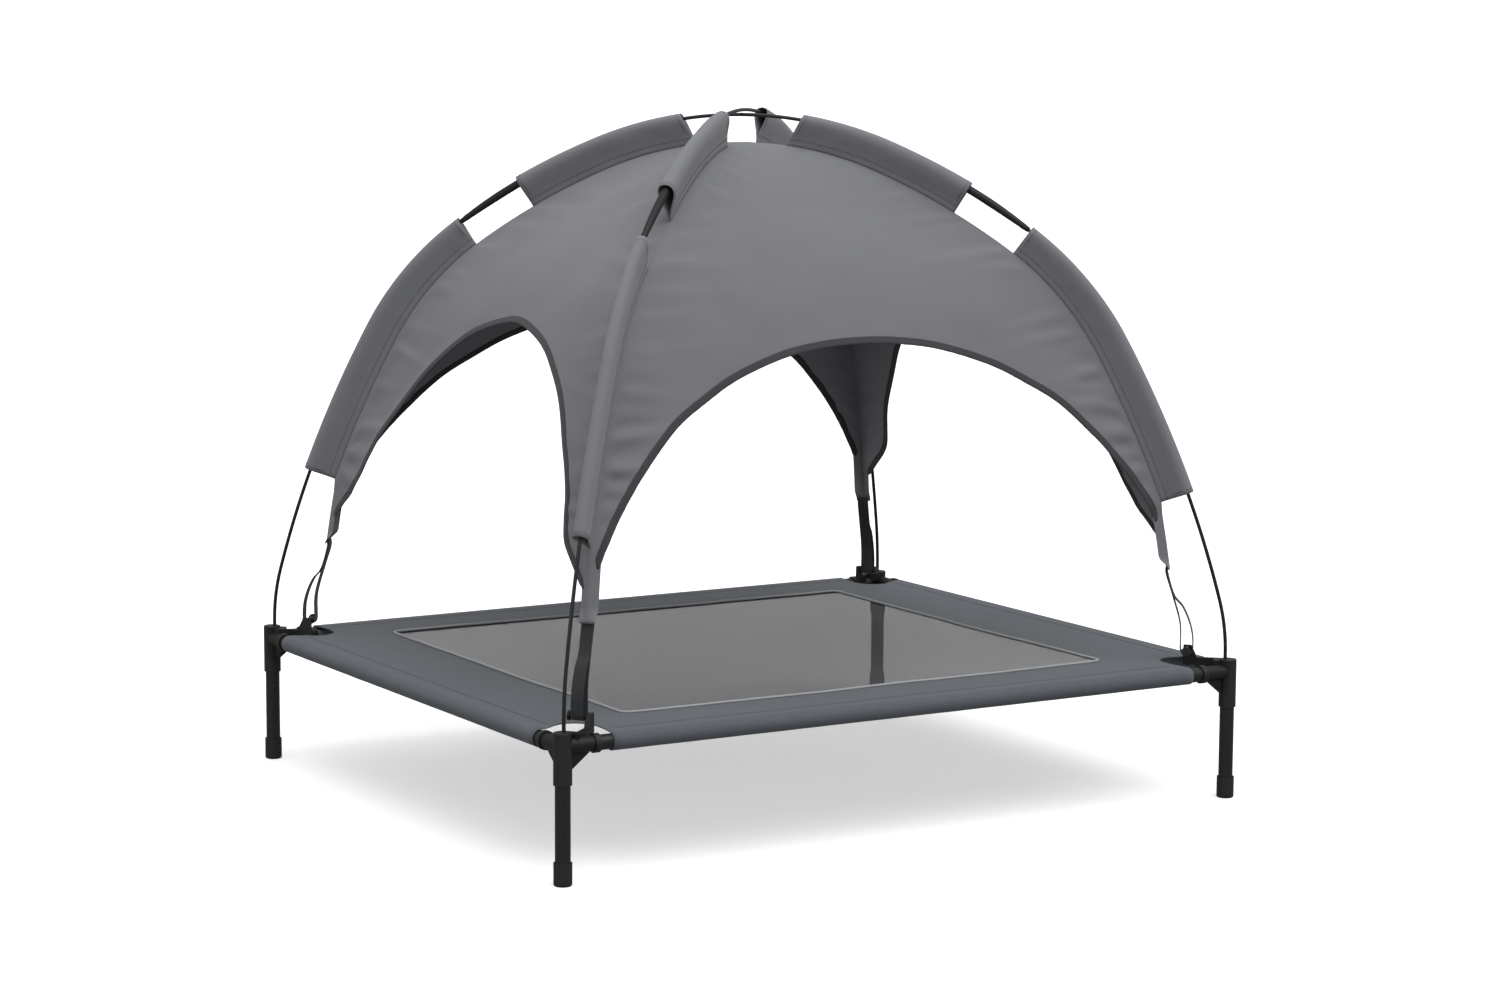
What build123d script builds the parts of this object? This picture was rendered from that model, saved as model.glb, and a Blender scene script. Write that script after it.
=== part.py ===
"""Raised dog bed with a domed sun canopy: a tube frame with a stretched fabric bed, and a canopy on two bent rods.

Millimetres, +Z up. The origin is on the floor under the middle of the bed.
+X runs along the length of the bed and the front is the long side at -Y.
"""
from build123d import *
import math
import os

os.makedirs("parts", exist_ok=True)

# ---- Overall sizes
BED_LENGTH = 1046.0         # between leg axes, along X
BED_WIDTH = 896.0           # between leg axes, along Y
POST_TOP = 196.0            # top of the corner connectors
RAIL_HEIGHT = 178.0         # axis of the four side rails
CROWN_HEIGHT = 941.0        # axis of the lower rod where the rods cross

# ---- Tubes of the frame
TUBE_DIAMETER = 20.0
TUBE_WALL = 1.2
SLIDE_GAP = 0.3             # radial clearance between a tube and what it slides in

# ---- Corner connectors
POST_BOTTOM = 129.0
POST_WALL = 1.7
POST_EDGE = 1.5             # rounding of the top edge
CAP_THICKNESS = 6.0
ARM_PROUD = 0.3             # radius of the arms beyond the rails
COLLAR_PROUD = 2.5
COLLAR_START = 42.0         # from the leg axis, along each rail
COLLAR_LENGTH = 8.0
PLUG_GAP = 0.4              # radial clearance of a plug inside its rail
PLUG_LENGTH = 40.0
WEB_THICKNESS = 4.5
WEB_REACH = 37.0
WEB_DROP = 20.0
WEB_SINK = 2.0              # how far a web runs up into its arm

# ---- Foot caps
FOOT_WALL = 1.9
FOOT_HEIGHT = 30.0
FOOT_FLOOR = 4.0
FOOT_GAP = 0.1
FOOT_EDGE = 3.0

# ---- Bed fabric
CLOTH = 1.9
HEM_GAP = 0.3               # between a rail and the sleeve of cloth around it
NOTCH_X = 68.0              # corner cut-out, from the leg axis along X
NOTCH_Y = 66.0              # corner cut-out, from the leg axis along Y
NOTCH_RADIUS = 26.0
BORDER_X = 143.0            # from the rail axes to the mesh, along X
BORDER_Y = 101.0            # from the rail axes to the mesh, along Y
MESH_THICKNESS = 1.2
BRAID_WIDTH = 5.0
BRAID_THICKNESS = 0.7

# ---- Rods
ROD_DIAMETER = 5.0
ROD_INSET = 4.0             # rod axis inward of the leg axis, along the diagonal
ROD_LIFT_OVER = 6.6         # how much higher the crossing rod passes
SOCKET_DEPTH = 49.0         # of the rod sockets below the top of the posts
SOCKET_WALL = 1.1
TIP_DIAMETER = 5.6
TIP_LENGTH = 18.0
TIP_FLOOR = 3.0
TIP_EDGE = 1.2
TIP_GAP = 0.1
JOINT_DIAMETER = 11.0
JOINT_GAP = 0.2
# Bent shape of a rod from its crown to its last bend, as shares of its reach and of its rise.
ROD_SHAPE = [(0.0, 1.0), (0.302, 0.942), (0.582, 0.794), (0.778, 0.586), (0.911, 0.317), (0.986, 0.101)]

# ---- Canopy
CANOPY_CLOTH = 2.4
POINT_SPACING = 35.0        # of the points that shape the panels along a rod
SEAM_DROP = 38.0            # from a rod down to the seam of the canopy below it
SLEEVE_DIAMETER = 17.0
SLEEVE_WALL = 1.6
FLAP_THICKNESS = 2.8
SEAM_GAP = 0.3
BORE_EXTRA = 3.0            # how far a sleeve's bore is cut past its ends
UPPER_SLEEVE = (83.0, 318.0)    # start and end, along the diagonal from the crown
LOWER_SLEEVE_INSETS = (284.65, 60.65)   # start and end, along the diagonal from the leg axis
CROWN_LEAN = 16.0           # how much nearer the crown an upper sleeve starts at its seam than at its rod
ROD_JOIN = 357.0
JOINT_ENDS = (302.0, 402.0)
PANEL_BELOW = 28.0          # lower edge of the panels, below the end of the corner seams
TAIL_LENGTH = 65.0          # from the lower edge of the panels down
TAIL_INSET = 82.65          # end of the tails, from the leg axis
TAIL_WIDTH = 22.0
TAIL_DEPTH = 9.0
TAIL_END_DEPTH = 6.3
WEDGE_GAP = 0.1             # between the mitred layers of two sides, from the corner seam
BINDING_WIDTH = 10.0
BINDING_PROUD = 0.7
ARCH_BELOW = 30.0           # how far the arch cuts run past the foot of the panels
# Arch openings: width of the legs beside the foot, crown height, and the outline between as shares.
LONG_ARCH = (15.0, 648.0, [(0.28, 0.958), (0.51, 0.817), (0.686, 0.643), (0.862, 0.346), (0.95, 0.14)])
SHORT_ARCH = (43.1, 666.0, [(0.17, 0.968), (0.32, 0.904), (0.58, 0.69), (0.826, 0.331), (0.925, 0.14)])

# ---- Hooks and webbing loops
BAR_DIAMETER = 9.0
BAR_INSET = 57.65           # from the leg axis, along the diagonal
BAR_LIFT = 10.0             # above the top of the post
HOOK_INNER = 11.5           # lateral faces of the hook's arm
HOOK_OUTER = 18.0
BAR_END = -12.0
HEAD_DIAMETER = 13.0
HEAD_THICKNESS = 3.0
WEBBING_WIDTH = 17.0
WEBBING_THICKNESS = 1.5
LOOP_RADIUS = 8.0           # inside of the loop's end
LOOP_DOUBLED = 37.0         # length of the doubled strap below the tail
LOOP_TOP_INSET = 3.15       # of the doubled strap, inward of the end of the tail
LOOP_LEAN = 0.33            # share of the way out to the bar at which the strap opens into a loop
HOOK_ARM_DROP = 2.0         # top of the hook's arm below the top of the post
HOOK_ARM_DEPTH = 11.0
HOOK_SINK = 4.0             # how far the arm starts inside the post
HOOK_SHOULDER = 14.0        # from the bar to where the arm starts to rise
HOOK_RISE = 5.0             # of the arm's tip above the bar
HOOK_TIP = 6.0              # half length of the arm's tip, along the diagonal
ROOT_LENGTH = 12.0
LOOP_GAP = 0.3

# ---- Worked out from the sizes above
HALF_X = BED_LENGTH / 2
HALF_Y = BED_WIDTH / 2
DIAGONAL = math.hypot(HALF_X, HALF_Y)
TUBE_RADIUS = TUBE_DIAMETER / 2
TUBE_INSIDE = TUBE_RADIUS - TUBE_WALL
POST_INSIDE = TUBE_RADIUS + SLIDE_GAP
POST_RADIUS = POST_INSIDE + POST_WALL
LEG_TOP = POST_TOP - CAP_THICKNESS
ARM_RADIUS = TUBE_RADIUS + ARM_PROUD
COLLAR_END = COLLAR_START + COLLAR_LENGTH
FOOT_INSIDE = TUBE_RADIUS + FOOT_GAP
HEM_INSIDE = TUBE_RADIUS + HEM_GAP
HEM_OUTSIDE = HEM_INSIDE + CLOTH
BED_TOP = RAIL_HEIGHT + HEM_OUTSIDE
MESH_LENGTH = BED_LENGTH - 2 * BORDER_X
MESH_WIDTH = BED_WIDTH - 2 * BORDER_Y
ROD_REACH = DIAGONAL - ROD_INSET
LOWER_SLEEVE = tuple(DIAGONAL - inset for inset in LOWER_SLEEVE_INSETS)
TAIL_REACH = DIAGONAL - TAIL_INSET
BAR_REACH = DIAGONAL - BAR_INSET
BAR_HEIGHT = POST_TOP + BAR_LIFT
SOCKET_FLOOR = POST_TOP - SOCKET_DEPTH
SOCKET_INSIDE = TIP_DIAMETER / 2 + SLIDE_GAP
BEND_END = POST_TOP + 8.0
CORNERS = {"front_left": (-1, -1), "front_right": (1, -1), "back_left": (-1, 1), "back_right": (1, 1)}
SIDES = {"front": (0, -1), "back": (0, 1), "left": (-1, 0), "right": (1, 0)}


def save(shape, node):
    """Write one node's solids."""
    solids = shape.solids()
    export_step(solids[0] if len(solids) == 1 else Compound(children=list(solids)), f"parts/{node}.step")


def corner_point(corner):
    sign_x, sign_y = CORNERS[corner]
    return sign_x * HALF_X, sign_y * HALF_Y


def on_diagonal(shape, corner):
    """Turn a shape drawn with +X as the outward diagonal to a corner."""
    x, y = corner_point(corner)
    return Rot(0, 0, math.degrees(math.atan2(y, x))) * shape


def round_column(radius, height):
    """A cylinder that stands on the plane of its sketch."""
    return Cylinder(radius, height, align=(Align.CENTER, Align.CENTER, Align.MIN))


def rod_cylinder(start, end, radius):
    """A cylinder between two points."""
    start, end = Vector(*start), Vector(*end)
    axis = Plane(origin=start, z_dir=end - start)
    return axis * round_column(radius, (end - start).length)


def standing(face, low, high):
    """A prism over a flat sketch, between two heights."""
    return Pos(0, 0, low) * extrude(face, high - low)


def upright(face, half_width):
    """A plate from a sketch drawn as (reach, height), centred on the diagonal plane."""
    return extrude(Plane.XZ * face, half_width, both=True)


# ---- The bent rod: a chain of tangent arcs in the plane of reach and height
class BentRod:
    """Arcs from the crown outwards. Each arc has a centre, a radius and the slopes at its ends."""

    def __init__(self, crown):
        self.crown = crown
        self.arcs = []
        rise = crown - BEND_END
        points = [(share_x * ROD_REACH, BEND_END + share_z * rise) for share_x, share_z in ROD_SHAPE]
        slope = 0.0
        for (x0, z0), (x1, z1) in zip(points, points[1:]):
            chord = math.hypot(x1 - x0, z1 - z0)
            half_turn = math.atan2(z0 - z1, x1 - x0) - slope
            radius = chord / 2 / math.sin(half_turn)
            self.add_arc(x0, z0, radius, slope, slope + 2 * half_turn)
            slope += 2 * half_turn
        x0, z0 = points[-1]
        self.add_arc(x0, z0, (ROD_REACH - x0) / (1 - math.sin(slope)), slope, math.pi / 2)
        self.foot_height = self.at(math.pi / 2)[1]

    def add_arc(self, x, z, radius, slope, end_slope):
        centre = (x - radius * math.sin(slope), z - radius * math.cos(slope))
        self.arcs.append((centre, radius, slope, end_slope))

    def at(self, slope, offset=0.0):
        """The point where the rod has this slope, moved outward by offset."""
        for (x, z), radius, _, end in self.arcs:
            if slope <= end + 1e-9:
                return x + (radius + offset) * math.sin(slope), z + (radius + offset) * math.cos(slope)
        raise ValueError(slope)

    def slope_at(self, reach):
        for (x, _), radius, _, end in self.arcs:
            if reach <= x + radius * math.sin(end) + 1e-6:
                return math.asin(min(1.0, (reach - x) / radius))
        raise ValueError(reach)

    def spans(self, start, end):
        """Radius and end slopes of each arc between two reaches."""
        low, high = self.slope_at(start), self.slope_at(end)
        cut = [(radius, max(first, low), min(last, high)) for _, radius, first, last in self.arcs]
        return [(radius, first, last) for radius, first, last in cut if last - first > 1e-6]

    def edges(self, start, end, offset=0.0):
        """Arcs between two reaches, moved outward by offset."""
        return [ThreePointArc(*[self.at(slope, offset) for slope in (first, (first + last) / 2, last)])
                for _, first, last in self.spans(start, end)]

    def points(self, start, end, offset):
        """Points about POINT_SPACING apart between two reaches, moved outward by offset."""
        found = [self.at(self.slope_at(start), offset)]
        for radius, first, last in self.spans(start, end):
            count = max(1, round(radius * (last - first) / POINT_SPACING))
            found += [self.at(first + (last - first) * step / count, offset) for step in range(1, count + 1)]
        return found


LOW_ROD = BentRod(CROWN_HEIGHT)
HIGH_ROD = BentRod(CROWN_HEIGHT + ROD_LIFT_OVER)
RODS = {"front_left": HIGH_ROD, "back_right": HIGH_ROD, "front_right": LOW_ROD, "back_left": LOW_ROD}
SEAM_END = LOW_ROD.at(LOW_ROD.slope_at(LOWER_SLEEVE[1]), -SEAM_DROP)
PANEL_FOOT = SEAM_END[1] - PANEL_BELOW
TAIL_END = PANEL_FOOT - TAIL_LENGTH
LOOP_SPLIT = TAIL_END - LOOP_DOUBLED


def along(rod, start, end, radius, inside=0.0):
    """A round bar or tube along part of a rod, drawn on the +X diagonal."""
    path = Plane.XZ * Wire(rod.edges(start, end))
    section = Circle(radius) - Circle(inside) if inside else Circle(radius)
    return sweep(Plane(origin=path @ 0, z_dir=path % 0) * section, path=path)


# ---- Frame
def connector(corner):
    """Moulded corner: a post for the leg, two arms into the rails, a rod socket and a hook."""
    x, y = corner_point(corner)
    sign_x, sign_y = CORNERS[corner]
    body = Pos(x, y, POST_BOTTOM) * round_column(POST_RADIUS, POST_TOP - POST_BOTTOM)
    body = fillet(body.edges().sort_by(Axis.Z)[-1], POST_EDGE)
    plug_radius = TUBE_INSIDE - PLUG_GAP
    for step_x, step_y in ((-sign_x, 0), (0, -sign_y)):
        def out(distance):
            return x + step_x * distance, y + step_y * distance, RAIL_HEIGHT
        body += rod_cylinder(out(0), out(COLLAR_START), ARM_RADIUS)
        body += rod_cylinder(out(COLLAR_START), out(COLLAR_END), TUBE_RADIUS + COLLAR_PROUD)
        body += rod_cylinder(out(COLLAR_END), out(COLLAR_END + PLUG_LENGTH), plug_radius)
        low = RAIL_HEIGHT - ARM_RADIUS
        web = make_face(Polyline((TUBE_RADIUS, low + WEB_SINK), (WEB_REACH, low + WEB_SINK), (WEB_REACH, low),
                                 (POST_RADIUS, low - WEB_DROP), (TUBE_RADIUS, low - WEB_DROP), close=True))
        turn = math.degrees(math.atan2(step_y, step_x))
        body += Pos(x, y, 0) * Rot(0, 0, turn) * upright(web, WEB_THICKNESS / 2)
    body += on_diagonal(hook(), corner)
    body -= Pos(x, y, POST_BOTTOM) * round_column(POST_INSIDE, LEG_TOP - POST_BOTTOM)
    bottom = SOCKET_FLOOR - TIP_FLOOR
    socket = Pos(ROD_REACH, 0, bottom) * round_column(SOCKET_INSIDE + SOCKET_WALL, POST_TOP - 1 - bottom)
    bore = Pos(ROD_REACH, 0, SOCKET_FLOOR) * round_column(SOCKET_INSIDE, SOCKET_DEPTH + 1)
    return body + on_diagonal(socket, corner) - on_diagonal(bore, corner)


def hook():
    """Arm from the post towards the bed, with a cross bar that a webbing loop goes under."""
    post = DIAGONAL - POST_RADIUS + HOOK_SINK
    top = POST_TOP - HOOK_ARM_DROP
    low, tip = top - HOOK_ARM_DEPTH, BAR_HEIGHT + HOOK_RISE
    outline = Polyline((post, low), (post, top), (BAR_REACH + HOOK_SHOULDER, top),
                       (BAR_REACH + HOOK_TIP, tip), (BAR_REACH + 1 - HOOK_TIP, tip),
                       (BAR_REACH - HOOK_TIP, low + 3), (BAR_REACH - 2, low), close=True)
    arm = Pos(0, (HOOK_OUTER + HOOK_INNER) / 2, 0) * upright(make_face(outline), (HOOK_OUTER - HOOK_INNER) / 2)
    root = Box(ROOT_LENGTH, HOOK_OUTER + 6, HOOK_ARM_DEPTH)
    root = Pos(post - ROOT_LENGTH / 2, HOOK_OUTER / 2 - 3, (low + top) / 2) * root
    bar = rod_cylinder((BAR_REACH, HOOK_INNER + 1, BAR_HEIGHT), (BAR_REACH, BAR_END, BAR_HEIGHT), BAR_DIAMETER / 2)
    head = rod_cylinder((BAR_REACH, BAR_END, BAR_HEIGHT), (BAR_REACH, BAR_END - HEAD_THICKNESS, BAR_HEIGHT),
                        HEAD_DIAMETER / 2)
    return arm + root + bar + head


def leg(corner):
    x, y = corner_point(corner)
    tube = Circle(TUBE_RADIUS) - Circle(TUBE_INSIDE)
    return Pos(x, y, 0) * standing(tube, FOOT_FLOOR, LEG_TOP)


def foot_cap(corner):
    x, y = corner_point(corner)
    cap = round_column(FOOT_INSIDE + FOOT_WALL, FOOT_HEIGHT)
    cap = fillet(cap.edges().sort_by(Axis.Z)[0], FOOT_EDGE)
    cap -= Pos(0, 0, FOOT_FLOOR) * round_column(FOOT_INSIDE, FOOT_HEIGHT)
    return Pos(x, y, 0) * cap


def rail_bar(side, short_x, short_y, radius):
    """A round bar on the axis of a rail, ending short of the leg axes."""
    side_x, side_y = SIDES[side]
    if side_x:
        start = (side_x * HALF_X, short_y - HALF_Y, RAIL_HEIGHT)
        end = (side_x * HALF_X, HALF_Y - short_y, RAIL_HEIGHT)
    else:
        start = (short_x - HALF_X, side_y * HALF_Y, RAIL_HEIGHT)
        end = (HALF_X - short_x, side_y * HALF_Y, RAIL_HEIGHT)
    return rod_cylinder(start, end, radius)


def rail(side):
    """Tube between the collars of two connectors."""
    outside = rail_bar(side, COLLAR_END, COLLAR_END, TUBE_RADIUS)
    return outside - rail_bar(side, COLLAR_END, COLLAR_END, TUBE_INSIDE)


# ---- Bed fabric
def bed_border():
    """Cloth border with a sleeve around each rail, cut out at the corners and for the mesh."""
    cloth = standing(Rectangle(BED_LENGTH, BED_WIDTH), BED_TOP - CLOTH, BED_TOP)
    for side in SIDES:
        cloth += rail_bar(side, NOTCH_X, NOTCH_Y, HEM_OUTSIDE)
    for side in SIDES:
        cloth -= rail_bar(side, 0, 0, HEM_INSIDE)
    notch = RectangleRounded(2 * NOTCH_X, 2 * NOTCH_Y, NOTCH_RADIUS)
    for corner in CORNERS:
        x, y = corner_point(corner)
        cloth -= Pos(x, y, 0) * standing(notch, RAIL_HEIGHT - 2 * TUBE_RADIUS, POST_TOP)
    return cloth - standing(Rectangle(MESH_LENGTH, MESH_WIDTH), BED_TOP - 2 * CLOTH, BED_TOP + CLOTH)


def mesh_panel():
    return standing(Rectangle(MESH_LENGTH, MESH_WIDTH), BED_TOP - CLOTH, BED_TOP - CLOTH + MESH_THICKNESS)


def braid():
    """Flat tape sewn over the seam between the border and the mesh."""
    grown = BRAID_WIDTH / 2
    ring = Rectangle(MESH_LENGTH + 2 * grown, MESH_WIDTH + 2 * grown)
    ring -= Rectangle(MESH_LENGTH - 2 * grown, MESH_WIDTH - 2 * grown)
    return standing(ring, BED_TOP, BED_TOP + BRAID_THICKNESS)


# ---- Canopy
def seam_line(offset=0.0):
    """Points (reach, height) of the corner seams, from the crown down to the end of the lower sleeves."""
    return LOW_ROD.points(0, LOWER_SLEEVE[1], offset - SEAM_DROP)


def seam_foot(offset=0.0):
    """Where the corner seams meet the lower edge of the panels, on their way to the end of the tails."""
    x, z = seam_line(offset)[-1]
    share = (z - PANEL_FOOT) / (z - TAIL_END)
    return x + share * (TAIL_REACH + offset - x), PANEL_FOOT


def cloth_band(squeeze, outside, inside):
    """Section of a canopy panel at -Y as a sketch of (Y, height)."""
    outer, inner = [[(-squeeze * x, z) for x, z in seam_line(side)] for side in (outside, inside)]
    outer_foot, inner_foot = [(-squeeze * seam_foot(side)[0], PANEL_FOOT) for side in (outside, inside)]
    return make_face([Spline(*outer), Polyline(outer[-1], outer_foot, inner_foot, inner[-1]), Spline(*inner),
                      Line(inner[0], outer[0])])


def arch_face(side, grown=0.0):
    """The opening of an arch as a sketch of (sideways, height), down past the foot of the panels."""
    leg_width, crown, shape = SHORT_ARCH if SIDES[side][0] else LONG_ARCH
    foot = seam_foot()[0] * half_sizes(side)[0] / DIAGONAL - leg_width
    rise = crown - PANEL_FOOT
    half = [(foot * share_x, PANEL_FOOT + rise * share_z) for share_x, share_z in shape]
    x, z = half[-1]
    below = (foot + (foot - x) * ARCH_BELOW / (z - PANEL_FOOT), PANEL_FOOT - ARCH_BELOW)
    right = half + [(foot, PANEL_FOOT), below]
    left = [(-x, z) for x, z in reversed(right)]
    curve = Spline(*(left + [(0, crown)] + right))
    if grown:
        steps = 2 * len(right)
        curve = Spline(*[moved_out(curve, step / steps, grown) for step in range(steps + 1)])
    return make_face([curve, Line(curve @ 1, curve @ 0)])


def moved_out(curve, share, distance):
    """A point beside a sketch curve that runs clockwise, on its outer side."""
    along_curve = curve % share
    return curve @ share + Vector(-along_curve.Y, along_curve.X) * distance


def half_sizes(side):
    """Half span of a side and its distance from the middle."""
    return (HALF_Y, HALF_X) if SIDES[side][0] else (HALF_X, HALF_Y)


def to_side(shape, side):
    """Turn a shape drawn as the side at -Y to its own side."""
    side_x, side_y = SIDES[side]
    return Rot(0, 0, math.degrees(math.atan2(side_x, -side_y))) * shape


def wedge(half_span, distance):
    """The quarter of the plan that one side covers, past the canopy on every side."""
    wide, far = 2 * half_span, -2 * distance - WEDGE_GAP
    plan = make_face(Polyline((0, -WEDGE_GAP), (wide, far), (-wide, far), close=True))
    return standing(plan, 0, 2 * CROWN_HEIGHT)


def side_band(side, outside, inside):
    """A side's whole layer of cloth, before its arch is cut."""
    half_span, distance = half_sizes(side)
    section = Plane.YZ * cloth_band(distance / DIAGONAL, outside, inside)
    return extrude(section, half_span, both=True) & wedge(half_span, distance)


def arch_prism(side, grown):
    return extrude(Plane.XZ * arch_face(side, grown), 2 * HALF_X)


def panel(side):
    return to_side(side_band(side, 0.0, -CANOPY_CLOTH) - arch_prism(side, BINDING_WIDTH), side)


def binding(side):
    """Folded tape around the edge of an arch."""
    layer = side_band(side, BINDING_PROUD, -CANOPY_CLOTH - BINDING_PROUD)
    tape = (layer & arch_prism(side, BINDING_WIDTH)) - arch_prism(side, 0.0)
    return to_side(tape, side)


def sleeve(corner, ends, lean):
    """Rod sleeve: a tube of cloth around the rod with a flat flap down to the seam."""
    rod = RODS[corner]
    tube = along(rod, *ends, SLEEVE_DIAMETER / 2)
    start, end = rod.slope_at(ends[0]), rod.slope_at(ends[1])
    low, high = LOW_ROD.slope_at(ends[0] - lean), LOW_ROD.slope_at(ends[1])
    upper = rod.edges(*ends, -1.0)
    lower = LOW_ROD.edges(ends[0] - lean, ends[1], SEAM_GAP - SEAM_DROP)
    closing = [Line(rod.at(start, -1.0), LOW_ROD.at(low, SEAM_GAP - SEAM_DROP)),
               Line(rod.at(end, -1.0), LOW_ROD.at(high, SEAM_GAP - SEAM_DROP))]
    flap = upright(make_face(upper + lower + closing), FLAP_THICKNESS / 2)
    bore = along(rod, ends[0] - BORE_EXTRA, ends[1] + BORE_EXTRA, SLEEVE_DIAMETER / 2 - SLEEVE_WALL)
    return on_diagonal(tube + flap - bore, corner)


def tail(corner):
    """Foot of a corner seam, where the panels narrow into one folded strip."""
    x, z = seam_foot()
    outline = Polyline((x, z), (TAIL_REACH, TAIL_END), (TAIL_REACH - TAIL_END_DEPTH, TAIL_END),
                       (x - TAIL_DEPTH, z), close=True)
    return on_diagonal(upright(make_face(outline), TAIL_WIDTH / 2), corner)


def webbing_loop(corner):
    """Elastic webbing, doubled below the tail and open around the hook's bar."""
    bend = BAR_HEIGHT - BAR_DIAMETER / 2 - LOOP_GAP + LOOP_RADIUS
    top = TAIL_REACH - LOOP_TOP_INSET
    split = top + (BAR_REACH - top) * LOOP_LEAN

    def outline(grown):
        radius = LOOP_RADIUS + grown
        edges = Polyline((BAR_REACH - radius, bend), (split - grown, LOOP_SPLIT), (split + grown, LOOP_SPLIT),
                         (BAR_REACH + radius, bend))
        return make_face([edges, ThreePointArc((BAR_REACH + radius, bend), (BAR_REACH, bend - radius),
                                               (BAR_REACH - radius, bend))])

    thick = WEBBING_THICKNESS
    strip = make_face(Polyline((top - thick, TAIL_END), (top + thick, TAIL_END), (split + thick, LOOP_SPLIT),
                               (split - thick, LOOP_SPLIT), close=True))
    loop = outline(thick) - outline(0.01) + strip
    return on_diagonal(upright(loop, WEBBING_WIDTH / 2), corner)


# ---- Rods
def crown_rod(rod, corner):
    """Middle section of a rod, from joint to joint over the crown."""
    half = along(rod, 0, ROD_JOIN, ROD_DIAMETER / 2)
    return on_diagonal(half + Rot(0, 0, 180) * half, corner)


def side_rod(corner):
    """Lower section of a rod, from its joint into its socket."""
    rod = RODS[corner]
    foot = SOCKET_FLOOR + TIP_FLOOR
    bent = along(rod, ROD_JOIN, ROD_REACH, ROD_DIAMETER / 2)
    straight = rod_cylinder((ROD_REACH, 0, rod.foot_height), (ROD_REACH, 0, foot), ROD_DIAMETER / 2)
    return on_diagonal(bent + straight, corner)


def joint_tube(corner):
    return on_diagonal(along(RODS[corner], *JOINT_ENDS, JOINT_DIAMETER / 2, ROD_DIAMETER / 2 + JOINT_GAP), corner)


def rod_tip(corner):
    tip = round_column(TIP_DIAMETER / 2, TIP_LENGTH)
    tip = fillet(tip.edges().sort_by(Axis.Z)[0], TIP_EDGE)
    tip -= Pos(0, 0, TIP_FLOOR) * round_column(ROD_DIAMETER / 2 + TIP_GAP, TIP_LENGTH)
    return on_diagonal(Pos(ROD_REACH, 0, SOCKET_FLOOR) * tip, corner)


for name in CORNERS:
    save(connector(name), f"corner_connector_{name}")
    save(leg(name), f"leg_{name}")
    save(foot_cap(name), f"foot_cap_{name}")
    save(sleeve(name, UPPER_SLEEVE, CROWN_LEAN), f"upper_rod_sleeve_{name}")
    save(sleeve(name, LOWER_SLEEVE, 0.0), f"lower_rod_sleeve_{name}")
    save(tail(name), f"canopy_tail_{name}")
    save(webbing_loop(name), f"webbing_loop_{name}")
    save(side_rod(name), f"lower_rod_{name}")
    save(joint_tube(name), f"rod_joint_{name}")
    save(rod_tip(name), f"rod_tip_{name}")

for name in SIDES:
    save(rail(name), f"{name}_rail")
    save(panel(name), f"canopy_panel_{name}")
    save(binding(name), f"arch_binding_{name}")

save(bed_border(), "bed_border")
save(mesh_panel(), "mesh_panel")
save(braid(), "seam_braid")
save(crown_rod(HIGH_ROD, "front_left"), "crown_rod_upper")
save(crown_rod(LOW_ROD, "front_right"), "crown_rod_lower")
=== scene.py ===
"""Raised dog bed with a domed canopy: cloth, mesh, webbing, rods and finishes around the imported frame."""
import math
import random

import bmesh
import bpy
import numpy as np
from mathutils import Matrix, Vector, noise


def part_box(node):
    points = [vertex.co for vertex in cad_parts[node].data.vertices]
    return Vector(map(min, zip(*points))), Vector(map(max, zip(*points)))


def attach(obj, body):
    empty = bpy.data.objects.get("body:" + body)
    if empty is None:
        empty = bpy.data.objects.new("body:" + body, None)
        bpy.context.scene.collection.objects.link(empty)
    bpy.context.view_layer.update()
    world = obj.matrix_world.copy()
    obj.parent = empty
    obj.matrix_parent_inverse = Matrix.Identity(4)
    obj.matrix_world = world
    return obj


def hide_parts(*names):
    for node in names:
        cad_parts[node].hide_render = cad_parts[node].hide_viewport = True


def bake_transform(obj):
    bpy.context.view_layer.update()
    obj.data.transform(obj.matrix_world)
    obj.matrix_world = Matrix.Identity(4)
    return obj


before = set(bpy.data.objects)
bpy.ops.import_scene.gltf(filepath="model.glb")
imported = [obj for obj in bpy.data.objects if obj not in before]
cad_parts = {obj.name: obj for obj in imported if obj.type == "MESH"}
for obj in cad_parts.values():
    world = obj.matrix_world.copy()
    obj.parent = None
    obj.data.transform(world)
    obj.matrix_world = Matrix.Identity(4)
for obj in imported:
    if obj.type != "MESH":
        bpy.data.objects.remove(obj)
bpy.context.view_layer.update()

bl_info = {
    "name": "Canopied dog bed",
    "version": (1, 0, 0),
    "blender": (4, 5, 0),
    "location": "3D View > Sidebar > Dog bed",
    "description": "Builds the cloth, webbing, rods, finishes and studio of a raised dog bed with a canopy",
    "category": "Object",
}

# ---- Places that come from the frame, in metres
CORNERS = {"front_left": (-1, -1), "front_right": (1, -1), "back_left": (-1, 1), "back_right": (1, 1)}
SIDES = ("front", "right", "back", "left")


def middle(node):
    low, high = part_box(node)
    return [(a + b) / 2 for a, b in zip(low, high)]


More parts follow.
